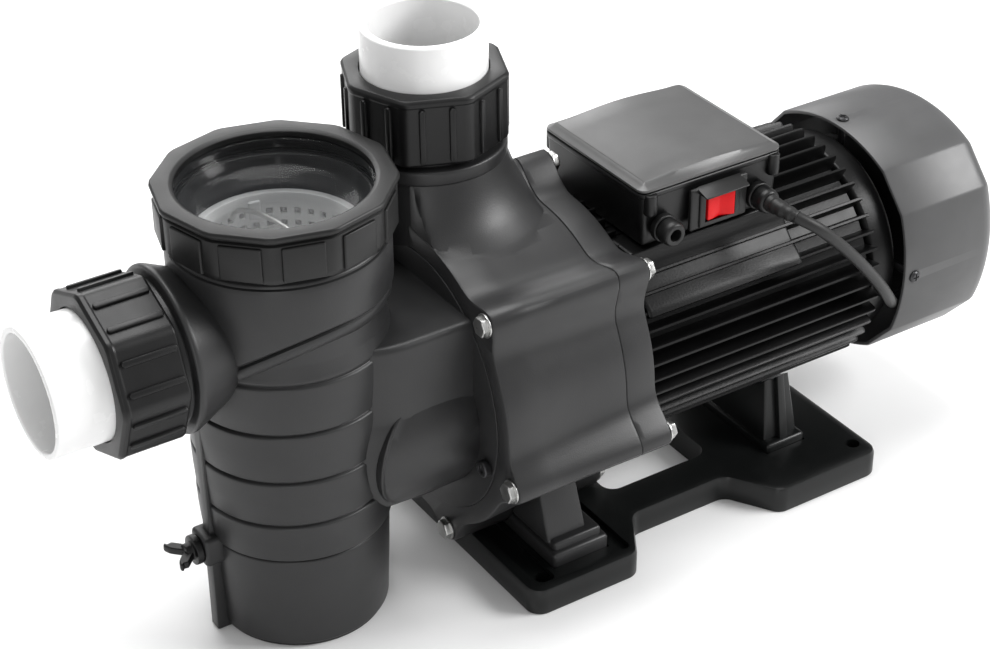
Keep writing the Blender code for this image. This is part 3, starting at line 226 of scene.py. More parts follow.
class Shape:
    """Closed shells gathered into one mesh."""

    def __init__(self):
        self.mesh = bmesh.new()

    def rings(self, rows, loop=False, caps=True):
        """Skin between rows of points; a loop joins the last row to the first."""
        made = [[self.mesh.verts.new(p) for p in row] for row in rows]
        pairs = list(zip(made, made[1:])) + ([(made[-1], made[0])] if loop else [])
        for low, high in pairs:
            count = max(len(low), len(high))
            for k in range(count):
                corners = []
                for vert in (low[k % len(low)], low[(k + 1) % len(low)], high[(k + 1) % len(high)],
                        high[k % len(high)]):
                    if vert not in corners:
                        corners.append(vert)
                self.mesh.faces.new(corners)
        if caps and not loop:
            for row in (made[0], made[-1]):
                if len(row) > 2:
                    self.mesh.faces.new(row)
        return self

    def lathe(self, profile, centre=(0, 0), axis="Z", steps=96, reach=None, bore=-10):
        """Turn a (radius, station) profile, closed if off the axis; a reach shapes it past the bore."""
        rows = []
        for radius, station in profile:
            if radius < 0.001:
                rows.append([toward(axis, *centre, station)])
                continue
            blend = max(0.0, min(1.0, (radius - bore) / 2.5)) if reach else 0.0
            row = []
            for angle in (tau * k / steps for k in range(steps)):
                size = radius * (1 + (reach(angle) - 1) * blend) if blend else radius
                row.append(toward(axis, centre[0] + size * cos(angle), centre[1] + size * sin(angle),
                        station))
            rows.append(row)
        on_axis = profile[0][0] < 0.001 or profile[-1][0] < 0.001
        return self.rings(rows, loop=not on_axis)

    def box(self, low, high, radius=0.6, turn=None, steps=2, taper=(1, 1)):
        """A block with rounded edges; a taper shrinks its top face."""
        low, high = Vector(low), Vector(high)
        made = bmesh.new()
        bmesh.ops.create_cube(made, size=1, matrix=Matrix.Diagonal((*(high - low), 1)))
        top = [v for v in made.verts if v.co.z > 0]
        bmesh.ops.scale(made, vec=(*taper, 1), verts=top)
        if radius:
            bmesh.ops.bevel(made, geom=made.verts[:] + made.edges[:], offset=radius, segments=steps,
                    profile=0.5, affect="EDGES", clamp_overlap=True)
        made.transform((turn or Matrix()) @ Matrix.Translation((low + high) / 2))
        made.normal_update()
        mesh = bpy.data.meshes.new("part")
        made.to_mesh(mesh)
        made.free()
        self.mesh.from_mesh(mesh)
        bpy.data.meshes.remove(mesh)
        return self

    def plate(self, outline, low, high, axis="Z", edge=0.5, bottom_edge=None):
        """A filled outline between two levels, with rounded rims."""
        bottom_edge = edge if bottom_edge is None else bottom_edge
        levels = []
        for size, level, sign in ((bottom_edge, low, 1), (edge, high, -1)):
            part = [(size * (1 - sin(pi / 2 * t / 2)), level + sign * size * (1 - cos(pi / 2 * t / 2)))
                    for t in range(3)]
            levels += part if sign > 0 else part[::-1]
        rows = [[toward(axis, a, b, level) for a, b in shrink(outline, size)] for size, level in levels]
        return self.rings(rows)

    def tube(self, points, radius, sides=16, widths=None):
        """A round bar along points; widths scale its radius point by point."""
        path = [Vector(p) for p in points]
        rows = []
        side = None
        for k, point in enumerate(path):
            ahead = (path[min(k + 1, len(path) - 1)] - path[max(k - 1, 0)]).normalized()
            if side is None:
                side = ahead.orthogonal().normalized()
            side = (side - ahead * side.dot(ahead)).normalized()
            other = ahead.cross(side)
            size = radius * (widths[k] if widths else 1)
            rows.append([point + side * size * cos(tau * j / sides) + other * size * sin(tau * j / sides)
                    for j in range(sides)])
        return self.rings(rows)

    def object(self, name):
        bmesh.ops.recalc_face_normals(self.mesh, faces=self.mesh.faces)
        self.mesh.transform(TO_ROW)
        mesh = bpy.data.meshes.new(name)
        self.mesh.to_mesh(mesh)
        self.mesh.free()
        made = bpy.data.objects.new(name, mesh)
        bpy.context.scene.collection.objects.link(made)
        return made


def shrink(outline, inset):
    """Move a closed outline inward by the same distance everywhere."""
    if not inset:
        return list(outline)
    count = len(outline)
    area = sum(a[0] * b[1] - b[0] * a[1] for a, b in zip(outline, outline[1:] + outline[:1]))
    inward = 1 if area > 0 else -1
    moved = []
    for k in range(count):
        before, here, after = (Vector(outline[(k + j) % count]) for j in (-1, 0, 1))
        along = (here - before).normalized() + (after - here).normalized()
        if along.length < 1e-6:
            along = after - here
        along.normalize()
        normal = Vector((-along.y, along.x)) * inward
        stretch = max(0.4, abs(Vector((-(here - before).y, (here - before).x)).normalized().dot(normal)))
        moved.append(tuple(here + normal * inset / stretch))
    return moved


def soft(points, radius, steps=3, closed=False):
    """Round the corners of a line of points."""
    out = []
    count = len(points)
    for k in range(count):
        here = Vector(points[k])
        if not closed and k in (0, count - 1):
            out.append(tuple(here))
            continue
        before, after = Vector(points[k - 1]), Vector(points[(k + 1) % count])
        back, on = before - here, after - here
        start = here + back.normalized() * min(radius, back.length * 0.45)
        end = here + on.normalized() * min(radius, on.length * 0.45)
        for step in range(steps + 1):
            t = step / steps
            out.append(tuple(start * (1 - t) ** 2 + here * 2 * t * (1 - t) + end * t ** 2))
    return out


def apply_steps(target):
    """Bake an object's modifiers into its mesh."""
    bpy.context.view_layer.update()
    mesh = bpy.data.meshes.new_from_object(target.evaluated_get(bpy.context.evaluated_depsgraph_get()))
    mesh.name = target.name
    target.modifiers.clear()
    target.data = mesh


def combine(target, operation, *tools):
    """Apply one Boolean with every tool at once, then delete the tools."""
    group = bpy.data.collections.new("tools")
    bpy.context.scene.collection.children.link(group)
    for tool in tools:
        bpy.context.scene.collection.objects.unlink(tool)
        group.objects.link(tool)
    step = target.modifiers.new("step", "BOOLEAN")
    step.operation = operation
    step.solver = "EXACT"
    step.operand_type = "COLLECTION"
    step.collection = group
    apply_steps(target)
    for tool in tools:
        bpy.data.objects.remove(tool, do_unlink=True)
    bpy.data.collections.remove(group)
    return target


def cut(target, *tools):
    return combine(target, "DIFFERENCE", *tools)


def join(target, *tools):
    return combine(target, "UNION", *tools)


def piece(made, finish, nodes=(), angle=32, body=PUMP):
    """Finish, shade and place one piece, with one material slot for its finish."""
    mesh = made.data
    mesh.materials.clear()
    mesh.materials.append(finish)
    for polygon in mesh.polygons:
        polygon.use_smooth = True
        polygon.material_index = 0
    mesh.set_sharp_from_angle(angle=radians(angle))
    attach(made, body)
    if nodes:
        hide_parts(*nodes)
    return made


def around(radius, angle, z=AXIS_Z):
    return radius * cos(angle), z + radius * sin(angle)


def polygon(sides, corner, softened):
    """A regular polygon's reach at an angle, over its corner radius, with its corners softened."""
    flat = cos(pi / sides)
    step = tau / sides
    return lambda angle: min(flat / cos(angle % step - step / 2), softened / corner)


def drill(radius, low, high, centre, axis="X", steps=48):
    """A plain round cutter between two stations."""
    return Shape().lathe([(0, low), (radius, low), (radius, high), (0, high)], centre, axis, steps)


def about_pot(angle):
    return Matrix.Translation((POT_X, 0, 0)) @ Matrix.Rotation(angle, 4, "Z")


def about_motor(angle):
    return Matrix.Translation((0, 0, AXIS_Z)) @ Matrix.Rotation(angle, 4, "X")


def rounded(corners, radius, steps=6):
    """A closed outline whose corners are replaced by arcs."""
    outline = []
    count = len(corners)
    for k in range(count):
        corner = Vector(corners[k])
        back = (Vector(corners[k - 1]) - corner).normalized()
        on = (Vector(corners[(k + 1) % count]) - corner).normalized()
        half = back.angle(on) / 2
        middle = corner + (back + on).normalized() * radius / sin(half)
        start = corner + back * radius / tan(half) - middle
        end = corner + on * radius / tan(half) - middle
        sweep = start.angle_signed(end)
        first = atan2(start.y, start.x)
        for step in range(steps + 1):
            angle = first - sweep * step / steps
            outline.append((middle.x + radius * cos(angle), middle.y + radius * sin(angle)))
    return outline


def smooth_run(points, per_span):
    """Points on a smooth curve through given ones (Catmull-Rom)."""
    path = [Vector(p) for p in points]
    path = [path[0] * 2 - path[1]] + path + [path[-1] * 2 - path[-2]]
    run = []
    for a, b, c, d in zip(path, path[1:], path[2:], path[3:]):
        for step in range(per_span):
            t = step / per_span
            run.append(0.5 * (2 * b + (c - a) * t + (2 * a - 5 * b + 4 * c - d) * t ** 2
                    + (3 * b - a - 3 * c + d) * t ** 3))
    run.append(path[-2])
    return run


# ---------------------------------------------------------------- power cord

CORD_ROUTE = [(169, -51.4, 183.5), (169, -58, 183.6), (169.6, -66, 183.3), (173.5, -74.5, 181.2),
        (183, -81, 174.5), (197, -82.4, 161.5), (213, -81, 145), (228, -78, 128.5),
        (241, -73.5, 113.5), (250, -68.6, 103), (257, -63.4, 95.5), (262.5, -59.3, 90.5)]
CORD_RADIUS = 3.3


def power_cord():
    """A sheathed cord from its gland, across the fins, into the mouth of the fan cover."""
    route = smooth_run(CORD_ROUTE, 6)
    cord = piece(Shape().tube(route, CORD_RADIUS, 24).object("cord_sheath"), RUBBER, ["power_cord"], 60)
    relief_run = smooth_run(CORD_ROUTE[:4], 8)
    widths = [1.55 - 0.5 * k / (len(relief_run) - 1) + (0.12 if k % 4 < 2 else 0.0)
            for k in range(len(relief_run))]
    relief = piece(Shape().tube(relief_run[2:], CORD_RADIUS, 24, widths[2:]).object("cord_strain_relief"),
            RUBBER, (), 60)


# ---------------------------------------------------------------- strainer pot

BANDS = [(1.5, 58, 46, 48), (58, 81, 49.5, 50.3), (81, 108, 50.3, 51.1), (108, 137, 51.1, 52.1),
        (137, 166, 52.1, 53)]


def conduit_rows(near, far):
    """A round belly under a flat-topped box, lofted along x."""
    half, top = 52, 170.4
    shoulder = acos(half / BELLY)
    sweep = pi + 2 * shoulder
    outline = [(half, top)]
    for k in range(41):
        angle = shoulder - sweep * k / 40
        outline.append((BELLY * cos(angle), BELLY_Z + BELLY * sin(angle)))
    outline.append((-half, top))
    outline = soft(outline, 4, 5, closed=True)
    stations = ((near, 0.82), (near + 6, 0.875), (near + 14, 0.94), (near + 22, 0.98), (near + 30, 1.0),
            (far, 1.0))
    return [[(x, y * size, z) for y, z in outline] for x, size in stations]


def pot():
    """The strainer pot: stacked bands, suction neck, conduit and its cover, drain boss and rib."""
    profile = [(0, 0), (44.6, 0)]
    for low, high, first, last in BANDS:
        profile += [(first - 1.5, low + 0.1), (first + 0.1, low + 1.3),
                ((first + last) / 2 + 0.4, (low + high) / 2), (last + 0.3, high - 2.2),
                (last + 0.1, high - 1.0), (last - 1.3, high - 0.2)]
    profile += [(53.0, 168), (52.4, 171), (51.5, 177), (51.3, 200), (53.2, 214), (53.9, 220), (53.4, 223),
            (51.4, 224.4), (51.3, 226)]
    for k in range(3):
        profile += [(52.1, 227.5 + 3.6 * k), (52.1, 228.6 + 3.6 * k), (51.3, 229.6 + 3.6 * k),
                (51.3, 230.4 + 3.6 * k)]
    profile += [(52, 238.6), (51.7, 240), (50.4, 240), (50.4, 237.8), (47.8, 237.8), (47.8, 240),
            (46.6, 240), (46.5, 236), (43.5, 150), (41.5, 5), (0, 5)]
    body = Shape().lathe(soft(profile, 0.7, 2), (POT_X, 0), steps=144).object("strainer_pot")
    neck = Shape().lathe(soft([(0, POT_X), (30.5, POT_X), (32, -130), (35.5, -138), (39.5, -147),
            (43, -155), (43, -157), (42, -158), (37, -158.4), (37, -174), (0, -174)],
            1.2, 3), (0, NECK_Z), "X", 96).object("neck")
    conduit = Shape().rings(conduit_rows(POT_X + 10, CASE_FRONT - 0.3)).object("conduit")
    cover = Shape().lathe(soft([(0, CASE_FRONT - 0.6), (73.7, CASE_FRONT - 0.6), (73.7, -3), (0, -3)], 0.4),
            (0, AXIS_Z), "X", 96).object("cover")
    boss = Shape().box((-148, -8.5, DRAIN_Z - 8.5), (POT_X, 8.5, DRAIN_Z + 8.5), 2.4,
            steps=4).object("boss")
    rib = Shape().box((POT_X - 52.3, -4, 0), (POT_X - 40, 4, 138), 1.1).object("rib")
    join(body, neck, conduit, cover, boss, rib)
    cavity = Shape().lathe([(0, 5), (41.5, 5), (43.5, 150), (46.5, 236), (46.5, 243), (0, 243)], (POT_X, 0),
            steps=96).object("cavity")
    inlet = drill(NECK_BORE, -180, POT_X, (0, NECK_Z), "X", 64).object("inlet")
    suction = drill(21, POT_X, 2, (0, AXIS_Z)).object("suction")
    drain = drill(5.3, -155, POT_X, (0, DRAIN_Z), "X", 32).object("drain")
    cut(body, cavity, inlet, suction, drain)
    piece(body, BODY, ["strainer_body"], 28)
    pot_collar()
    domes()


def domes():
    """A shallow bulge on each side of the conduit, inside a fine raised seam."""
    for name, side in (("near", -1), ("far", 1)):
        rows = []
        for lift, size in ((-6, 1.02), (1.6, 1.02), (3.0, 1.01), (3.5, 0.99), (3.2, 0.965), (3.0, 0.95),
                (3.9, 0.86), (5.2, 0.66), (6.3, 0.42), (6.9, 0.2), (7.1, 0.05)):
            row = []
            for k in range(96):
                angle = tau * k / 96
                x = -34 + 36 * size * cos(angle)
                z = 100 + 37 * size * sin(angle)
                surface = max(36, BELLY * sqrt(max(0.05, 1 - ((z - BELLY_Z) / BELLY) ** 2)))
                row.append((min(x, CASE_FRONT - 0.4), side * (surface + lift - 3.4), z))
            rows.append(row)
        piece(Shape().rings(rows).object(f"conduit_dome_{name}"), BODY, (), 34)


def pot_collar():
    """The smooth upper shell of the pot: its grooved lower edge climbs from the inlet to the conduit."""
    steps = 144
    levels = [(51.2, -9), (52.6, -8), (54.0, -5), (54.3, -2.8), (53.9, -1.6), (52.4, -0.6), (52.4, 0),
            (54.2, 0.5), (55.1, 1.6), (55.3, 5), (55.3, 12)]
    rows = []
    for radius, lift in levels + [(55.3, COLLAR_TOP - 3), (54.6, COLLAR_TOP - 0.8), (53.4, COLLAR_TOP),
            (51.0, COLLAR_TOP), (51.0, 2)]:
        row = []
        for k in range(steps):
            angle = tau * k / steps
            turn = max(0.0, min(1.0, (abs(pi - angle) - radians(18)) / radians(80)))
            low = 165 + 31 * sin(pi / 2 * turn)
            below = lift * max(0.05, min(1.0, (low - 166) / 9)) if lift < 0 else lift
            level = lift if lift > 100 else low + below
            row.append((POT_X + radius * cos(angle), radius * sin(angle), level))
        rows.append(row)
    shell = Shape().rings(rows, loop=True).object("pot_collar")
    bore = drill(NECK_BORE + 0.3, -180, POT_X, (0, NECK_Z), "X", 64).object("bore")
    cut(shell, bore)
    piece(shell, BODY, (), 34)


def lid_ring():
    """A twelve-sided nut: a plain top flange over a dark undercut, and a raised pad on every facet."""
    profile = soft([(57.6, 226.3), (58.4, 229), (58.5, 246.6), (57.0, 247.4), (57.0, 248.4), (59.2, 249),
            (60.1, 249.8), (60.1, 251.4), (59.2, 252.3), (50.2, 252.3), (48.1, 251.2),
            (48.1, 248.3), (52.4, 248.3), (52.4, 226.3)], 0.45, 2, closed=True)
    ring = Shape().lathe(profile, (POT_X, 0), "Z", 192, polygon(12, 60.1, 59.6), 53)
    flat = 58.5 * cos(pi / 12)
    for k in range(12):
        ring.box((flat - 2, -10.4, 227.6), (flat + 1.35, 10.4, 245.9), 0.8, about_pot(radians(15 + 30 * k)),
                3)
    piece(ring.object("cap_ring"), RING, ["lid_ring"], 30, "screw_ring")


def lid_and_basket():
    """The dished clear lid, the basket under it and the basket's wire bail."""
    profile = soft([(0, 230), (30, 230.6), (43, 233.5), (45.6, 240.3), (51.9, 240.3), (51.9, 248),
            (47, 248), (44.5, 243), (40, 237), (28, 234.3), (0, 233.6)], 2.2, 5)
    piece(Shape().lathe(profile, (POT_X, 0), steps=128).object("clear_dish"), CLEAR, ["strainer_lid"], 60,
          "lid")
    basket()
    reach, rise, pivot, lean = 36.6, 13, 214, radians(10)
    points = []
    for k in range(41):
        angle = pi * k / 40
        side = -reach * cos(angle)
        points.append((POT_X - side * sin(lean), side * cos(lean), pivot + rise * sin(angle)))
    bail = Shape().tube(points, 1.3, 16)
    piece(bail.object("bail_wire"), STEEL, ["basket_handle"], 60, "bail")


def basket():
    """A tapered cup with rows of square holes, a rolled rim and a round window toward the inlet."""
    steps, pitch = 136, 3.5
    floor, top = 67, 218
    count = int((top - floor) / pitch)
    made = Shape()
    shape = made.mesh
    rows = []
    for j in range(count + 1):
        z = floor + pitch * j
        radius = 33.2 + 6.8 * j / count
        rows.append([shape.verts.new((POT_X + radius * cos(tau * k / steps), radius * sin(tau * k / steps),
                z)) for k in range(steps)])
    for j in range(count):
        z = floor + pitch * (j + 0.5)
        for k in range(steps):
            angle = tau * (k + 0.5) / steps
            side, height = 36 * sin(angle), z - NECK_Z
            window = cos(angle) < 0 and hypot(side, height) < 25
            hole = j % 2 == 1 and k % 4 in (1, 2) and 2 < j < count - 1
            if window or hole:
                continue
            shape.faces.new((rows[j][k], rows[j][(k + 1) % steps], rows[j + 1][(k + 1) % steps],
                    rows[j + 1][k]))
    lone = [v for v in shape.verts if not v.link_faces]
    bmesh.ops.delete(shape, geom=lone, context="VERTS")
    wall = made.object("basket_wall")
    shell = wall.modifiers.new("wall", "SOLIDIFY")
    shell.thickness = 0.0016
    shell.offset = -1
    apply_steps(wall)
    piece(wall, PALE, ["basket"], 40, "strainer_basket")
    rim = Shape().lathe(soft([(38.2, 216.5), (40.6, 216.5), (41.6, 219), (43.5, 220.2), (43.6, 221.8),
            (39.4, 222)], 0.5, 3, closed=True), (POT_X, 0), steps=128)
    rim.lathe(soft([(0, 66), (33.4, 66), (34.2, 67), (34.2, 68.4), (0, 68.4)], 0.5, 2), (POT_X, 0),
            steps=96)
    for angle in (80, 260):
        rim.box((37.4, -3.2, 209), (39.6, 3.2, 219), 0.9, about_pot(radians(angle)), 3)
    piece(rim.object("basket_rim"), PALE, (), 34, "strainer_basket")


def drain_plug():
    """A threaded stem with a collar and two rounded wings."""
    plug = Shape().lathe(soft([(0, -142), (4.9, -142), (4.9, -148.4), (8, -148.4), (8, -151.9), (5, -152.2),
            (4.6, -156), (0, -156.4)], 0.5), (0, DRAIN_Z), "X", 48)
    for side in (-1, 1):
        run = [(-153, side * 1.0), (-157, side * 4.6), (-160.4, side * 8.2)]
        left = [(x - 1.4, y - side * 2.4) for x, y in run]
        right = [(x + 1.9, y + side * 2.1) for x, y in run]
        tip = [(-163.2 + 0.6 * k, side * (9.6 + 1.5 * sin(pi * k / 4))) for k in range(5)]
        outline = soft(left + tip + right[::-1], 1.4, 3, closed=True)
        rows = []
        for size, level in ((0.7, -2.1), (0.2, -1.7), (0, -1), (0, 1), (0.2, 1.7), (0.7, 2.1)):
            rows.append([(x, y, DRAIN_Z + level) for x, y in shrink(outline, size)])
        plug.rings(rows)
    piece(plug.object("drain_wing_plug"), NUT, ["drain_plug"], 34, "plug")


# ---------------------------------------------------------------- pipe unions

def union_nut(name, body, node, centre, axis, outer, inner, corner, hole, thread, sign):
    """An octagonal nut with two oblong ribs on every facet and a bevel at both faces."""
    profile = soft([(corner - 3.0, outer), (corner - 1.5, outer + sign * 1.3),
            (corner - 1.5, outer + sign * 3.4), (corner - 1.9, outer + sign * 4.2),
            (corner - 1.9, inner - sign * 1.2), (corner - 2.6, inner), (thread, inner),
            (thread, outer + sign * 6), (hole, outer + sign * 6), (hole, outer)], 0.35, 2, closed=True)
    nut = Shape().lathe(profile, centre, axis, 160, polygon(8, corner, corner - 0.7), thread)
    flat = (corner - 1.9) * cos(pi / 8)
    low, high = sorted((outer + sign * 4.8, inner - sign * 1.6))
    for k in range(8):
        angle = pi / 8 + pi / 4 * k
        for side in (-7.6, 7.6):
            across = Vector((-sin(angle), cos(angle)))
            out = Vector((cos(angle), sin(angle)))
            middle = Vector(centre) + out * flat + across * side
            rib_rows = []
            for lift, size in ((-1.0, 1.7), (1.0, 1.7), (1.4, 1.45), (1.55, 1.0)):
                row = []
                for j in range(16):
                    turn = tau * j / 16
                    end = high - 1.7 if sin(turn) > 0 else low + 1.7
                    place = middle + out * lift + across * size * cos(turn)
                    row.append(toward(axis, place.x, place.y, end + size * sin(turn)))
                rib_rows.append(row)
            nut.rings(rib_rows)
    piece(nut.object(name), NUT, [node], 32, body)


def unions():
    union_nut("suction_union_nut", "suction_nut", "inlet_nut", (0, NECK_Z), "X", -197, -162, 45.7, 33.7,
            37.4, 1)
    union_nut("return_union_nut", "return_nut", "outlet_nut", OUTLET, "Z", 268, 231.5, 45.7, 33.3, 36.4, -1)
    inlet = Shape().lathe(soft([(29.5, -174.3), (36.5, -174.3), (36.5, -190.7), (33, -190.7), (33, -224.9),
            (32.3, -225.6), (30.2, -225.6), (29.5, -224.9)], 0.3, 2, closed=True), (0, NECK_Z), "X", 128)
    piece(inlet.object("suction_pipe_tail"), PVC, ["inlet_pipe"], 34, "suction_pipe")
    outlet = Shape().lathe(soft([(28.2, OUTLET_SEAT + 0.3), (35.5, OUTLET_SEAT + 0.3), (35.5, 261.7),
            (32.6, 261.7), (32.6, OUTLET_TOP - 0.7), (31.9, OUTLET_TOP),
            (28.9, OUTLET_TOP), (28.2, OUTLET_TOP - 0.7)], 0.3, 2, closed=True), OUTLET, "Z", 128)
    piece(outlet.object("return_pipe_tail"), PVC, ["outlet_pipe"], 34, "return_pipe")


# ---------------------------------------------------------------- pump casing

def case_row(x, plain, grow=0.0, count=216):
    row = []
    for k in range(count):
        angle = tau * k / count
        nearest = min(abs((angle - boss + pi) % tau - pi) for boss in BOLT_ANGLES)
        radius = plain + (BOSS_REACH - plain) * exp(-(nearest / BOSS_SPREAD) ** 2) + grow
        y, z = around(radius, angle)
        row.append((x, y, z))
    return row


def case_rows(stations):
    """Rows of the casing between its front and rear, each moved in by its own amount."""
    rows = []
    for x, inset in stations:
        t = max(0.0, min(1.0, (x - CASE_FRONT) / (CASE_REAR - CASE_FRONT)))
        rows.append(case_row(x, 84 - 5 * t, -inset))
    return rows


def fairing():
    """The casing's top swept up to the outlet collar, broad on the near side and flush with the front."""
    rows = []
    for station, reach in ((160, 76), (172, 77), (180, 74), (185, 68.5), (190, 61.5), (195, 55.6),
            (200, 51), (206, 47.2), (212, 44.4), (217, 42.6), (220, 41.8), (222, 41.2)):
        row = []
        for k in range(144):
            angle = tau * k / 144
            share = max(0.0, min(1.0, 0.5 - sin(angle)))
            size = 40.5 + (reach - 40.5) * (0.18 + 0.82 * share * share * (3 - 2 * share))
            x = max(CASE_FRONT + 0.8, min(CASE_REAR - 3, OUTLET[0] + size * cos(angle)))
            row.append((x, OUTLET[1] + size * sin(angle), station))
        rows.append(row)
    return Shape().rings(rows).object("fairing")


def casing():
    """The volute shell with its outlet, the motor bracket behind it, and every bolt and screw."""
    body = Shape().rings(case_rows([(CASE_FRONT, 1.6), (CASE_FRONT + 0.5, 0.6), (CASE_FRONT + 1.6, 0),
            (8, 0), (28, 0.2), (46, 0.2), (61, 0), (62.2, 0.1), (62.6, 0.5)])).object("volute_shell")
    neck = Shape().lathe(soft([(0, 160), (39, 160), (39, 219.6), (42, 220.6), (42, 227.4), (41, 228.4),
            (36, 228.6), (36, OUTLET_SEAT), (0, OUTLET_SEAT)], 1.2, 3), OUTLET, "Z", 96).object("neck")
    shoulder = Shape().box((CASE_FRONT + 1, 18, 140), (50, 64, 184), 9, steps=5).object("shoulder")
    join(body, neck, shoulder, fairing())
    inside = Shape().lathe([(0, -30), (74, -30), (74, -2.7), (58, -2.7), (58, 12), (70, 14), (70, 44.7),
            (74, 44.7), (74, 68), (0, 68)], (0, AXIS_Z), "X", 96).object("inside")
    riser = drill(27.2, 206, OUTLET_SEAT + 5.5, OUTLET, "Z", 64).object("riser")
    channel = Shape().box((0, 32, 140), (38, 57, 212), 0).object("channel")
    y, z = around(BOLT_CIRCLE, BOLT_ANGLES[1])
    pocket = drill(7.5, -50, CASE_FRONT + 0.5, (y, z), "X", 32).object("pocket")
    cut(body, inside, riser, channel, pocket)
    piece(body, BODY, ["volute_casing"], 30)

    flange = Shape().rings([case_row(x, plain, -inset) for x, plain,
            inset in ((62.8, 79, 0.5), (63.2, 79, 0.1), (66, 79, 0), (79.6, 78.1, 0),
            (81.2, 78, 0.3), (82, 78, 1.4))]).object("motor_bracket")
    bore = Shape().lathe([(0, 50), (64, 50), (64, 64), (SHAFT_SEAT, 66.7), (SHAFT_SEAT, 90), (0, 90)],
            (0, AXIS_Z), "X", 64).object("bore")
    cut(flange, bore)
    piece(flange, BODY, ["motor_flange"], 30)

    for number, angle in enumerate(BOLT_ANGLES, 1):
        y, z = around(BOLT_CIRCLE, angle)
        hexagon = polygon(6, 6, 5.85)
        bolt = Shape().lathe(soft([(0, -15), (2.6, -15), (3, -14), (3, 85.2), (2.5, 86.4), (0, 86.4)], 0.3),
                (y, z), "X", 24)
        bolt.lathe(soft([(0, -17.3), (5, -17.3), (5.6, -16.8), (5.6, -13.9), (0, -13.9)], 0.3), (y, z), "X",
                48, hexagon)
        for low, high in ((-14.1, -13.2), (82.2, 83)):
            bolt.lathe(soft([(0, low), (6.4, low), (6.4, high), (0, high)], 0.2), (y, z), "X", 32)
        bolt.lathe(soft([(0, 82.9), (5.6, 82.9), (5.6, 86.4), (5, 87), (0, 87)], 0.3), (y, z), "X", 48,
                hexagon)
        piece(bolt.object(f"tie_bolt_{number}"), STEEL, [f"casing_bolt_{number}"], 30)
    for number, angle in enumerate(SCREW_ANGLES, 1):
        y, z = around(SCREW_CIRCLE, angle)
        screw = Shape().lathe(soft([(0, -16.6), (2.2, -16.6), (2.2, -18), (4, -18), (4.6, -17.4),
                (4.6, -14.3), (2.2, -14.3), (2.2, 8), (0, 8)], 0.3), (y, z), "X", 32)
        piece(screw.object(f"cover_cap_screw_{number}"), DARK_STEEL, [f"cover_screw_{number}"], 34)


# ---------------------------------------------------------------- base and feet

def base():
    """A waisted plate with a window, shallow recesses and a seat for each foot."""
    low, high = (66, 84), (147, 165)
    near = [(0, -88), (low[0], -88), (low[1], -59), (high[0], -59), (high[1], -88), (237, -88)]
    outline = rounded(near + [(x, -y) for x, y in reversed(near)], 9, 8)
    deck = Shape().plate(outline, 0, 16, edge=3.2, bottom_edge=0.6).object("base_frame")
    window = Shape().plate(rounded([(84, -36), (153, -36), (153, 36), (84, 36)], 8, 8), -3, 20,
            edge=0).object("window")
    tools = [window]
    for x in (13, 227):
        for y in (-75, 75):
            tools.append(drill(4, -3, 20, (x, y), "Z", 32).object("hole"))
    for x, half_x, half_y in (PUMP_FOOT, MOTOR_FOOT):
        tools.append(Shape().box((x - half_x - 0.3, -half_y - 0.3, 11.7),
                (x + half_x + 0.3, half_y + 0.3, 30), 0).object("pocket"))
    recess = 13.4
    for front, rear in ((6.5, 17.5), (59.5, 66)):
        for side in (-1, 1):
            edges = sorted((side * 82, side * 12))
            corners = [(front, edges[0]), (rear, edges[0]), (rear, edges[1]), (front, edges[1])]
            tools.append(Shape().plate(rounded(corners, 3, 5), recess, 20, edge=0).object("recess"))
    cut(deck, *tools)
    piece(deck, BASE, ["base_plate"], 32)


def feet():
    """The gusseted pump foot, cut to the casing, and the flared motor foot, cut to the fins."""
    x, half_x, half_y = PUMP_FOOT
    foot = Shape().box((x - half_x, -half_y, 12), (x + half_x, half_y, 24), 2.2, steps=3)
    foot = foot.object("pump_foot_shoe")
    ledge = Shape().box((x - half_x + 2.5, -half_y + 3, 20), (x + half_x - 3, half_y - 3, 29), 1.6,
            steps=3).object("ledge")
    column = Shape().box((x - half_x + 1, -half_y + 7, 26), (x + 8, half_y - 7, 66), 1.4, steps=3,
            taper=(0.9, 0.8)).object("column")
    gussets = []
    for side in (-1, 1):
        for y in (20, 50):
            rows = []
            for lateral in (-2, 2):
                rows.append([(x + 6, side * y + lateral, 26), (x + half_x - 2, side * y + lateral, 26),
                        (x + half_x - 5, side * y + lateral, 31), (x + 7, side * y + lateral, 58),
                        (x + 2, side * y + lateral, 58)])
            gussets.append(Shape().rings(rows).object("gusset"))
    join(foot, ledge, column, *gussets)
    saddle = Shape().rings([case_row(-20, 84, 0.8), case_row(90, 79, 0.8)]).object("saddle")
    cut(foot, saddle)
    piece(foot, BODY, ["pump_foot"], 32)

    x, half_x, half_y = MOTOR_FOOT
    foot = Shape().box((x - half_x, -half_y, 12), (x + half_x, half_y, 21), 2.2,
            steps=3).object("motor_foot_shoe")
    column = Shape().box((x - half_x + 1.5, -half_y + 5, 18), (x + half_x - 1.5, half_y - 5, 72), 1.6,
            steps=3, taper=(0.6, 0.82)).object("column")
    web = Shape().box((x - 3, -half_y + 1.5, 18), (x + 3, half_y - 1.5, 64), 1.0, steps=2,
            taper=(0.8, 0.86)).object("web")
    join(foot, column, web)
    saddle = drill(FIN_TIP + 0.7, 140, 240, (0, AXIS_Z), "X", 128).object("saddle")
    cut(foot, saddle)
    piece(foot, BASE, ["motor_foot"], 32)


# ---------------------------------------------------------------- motor

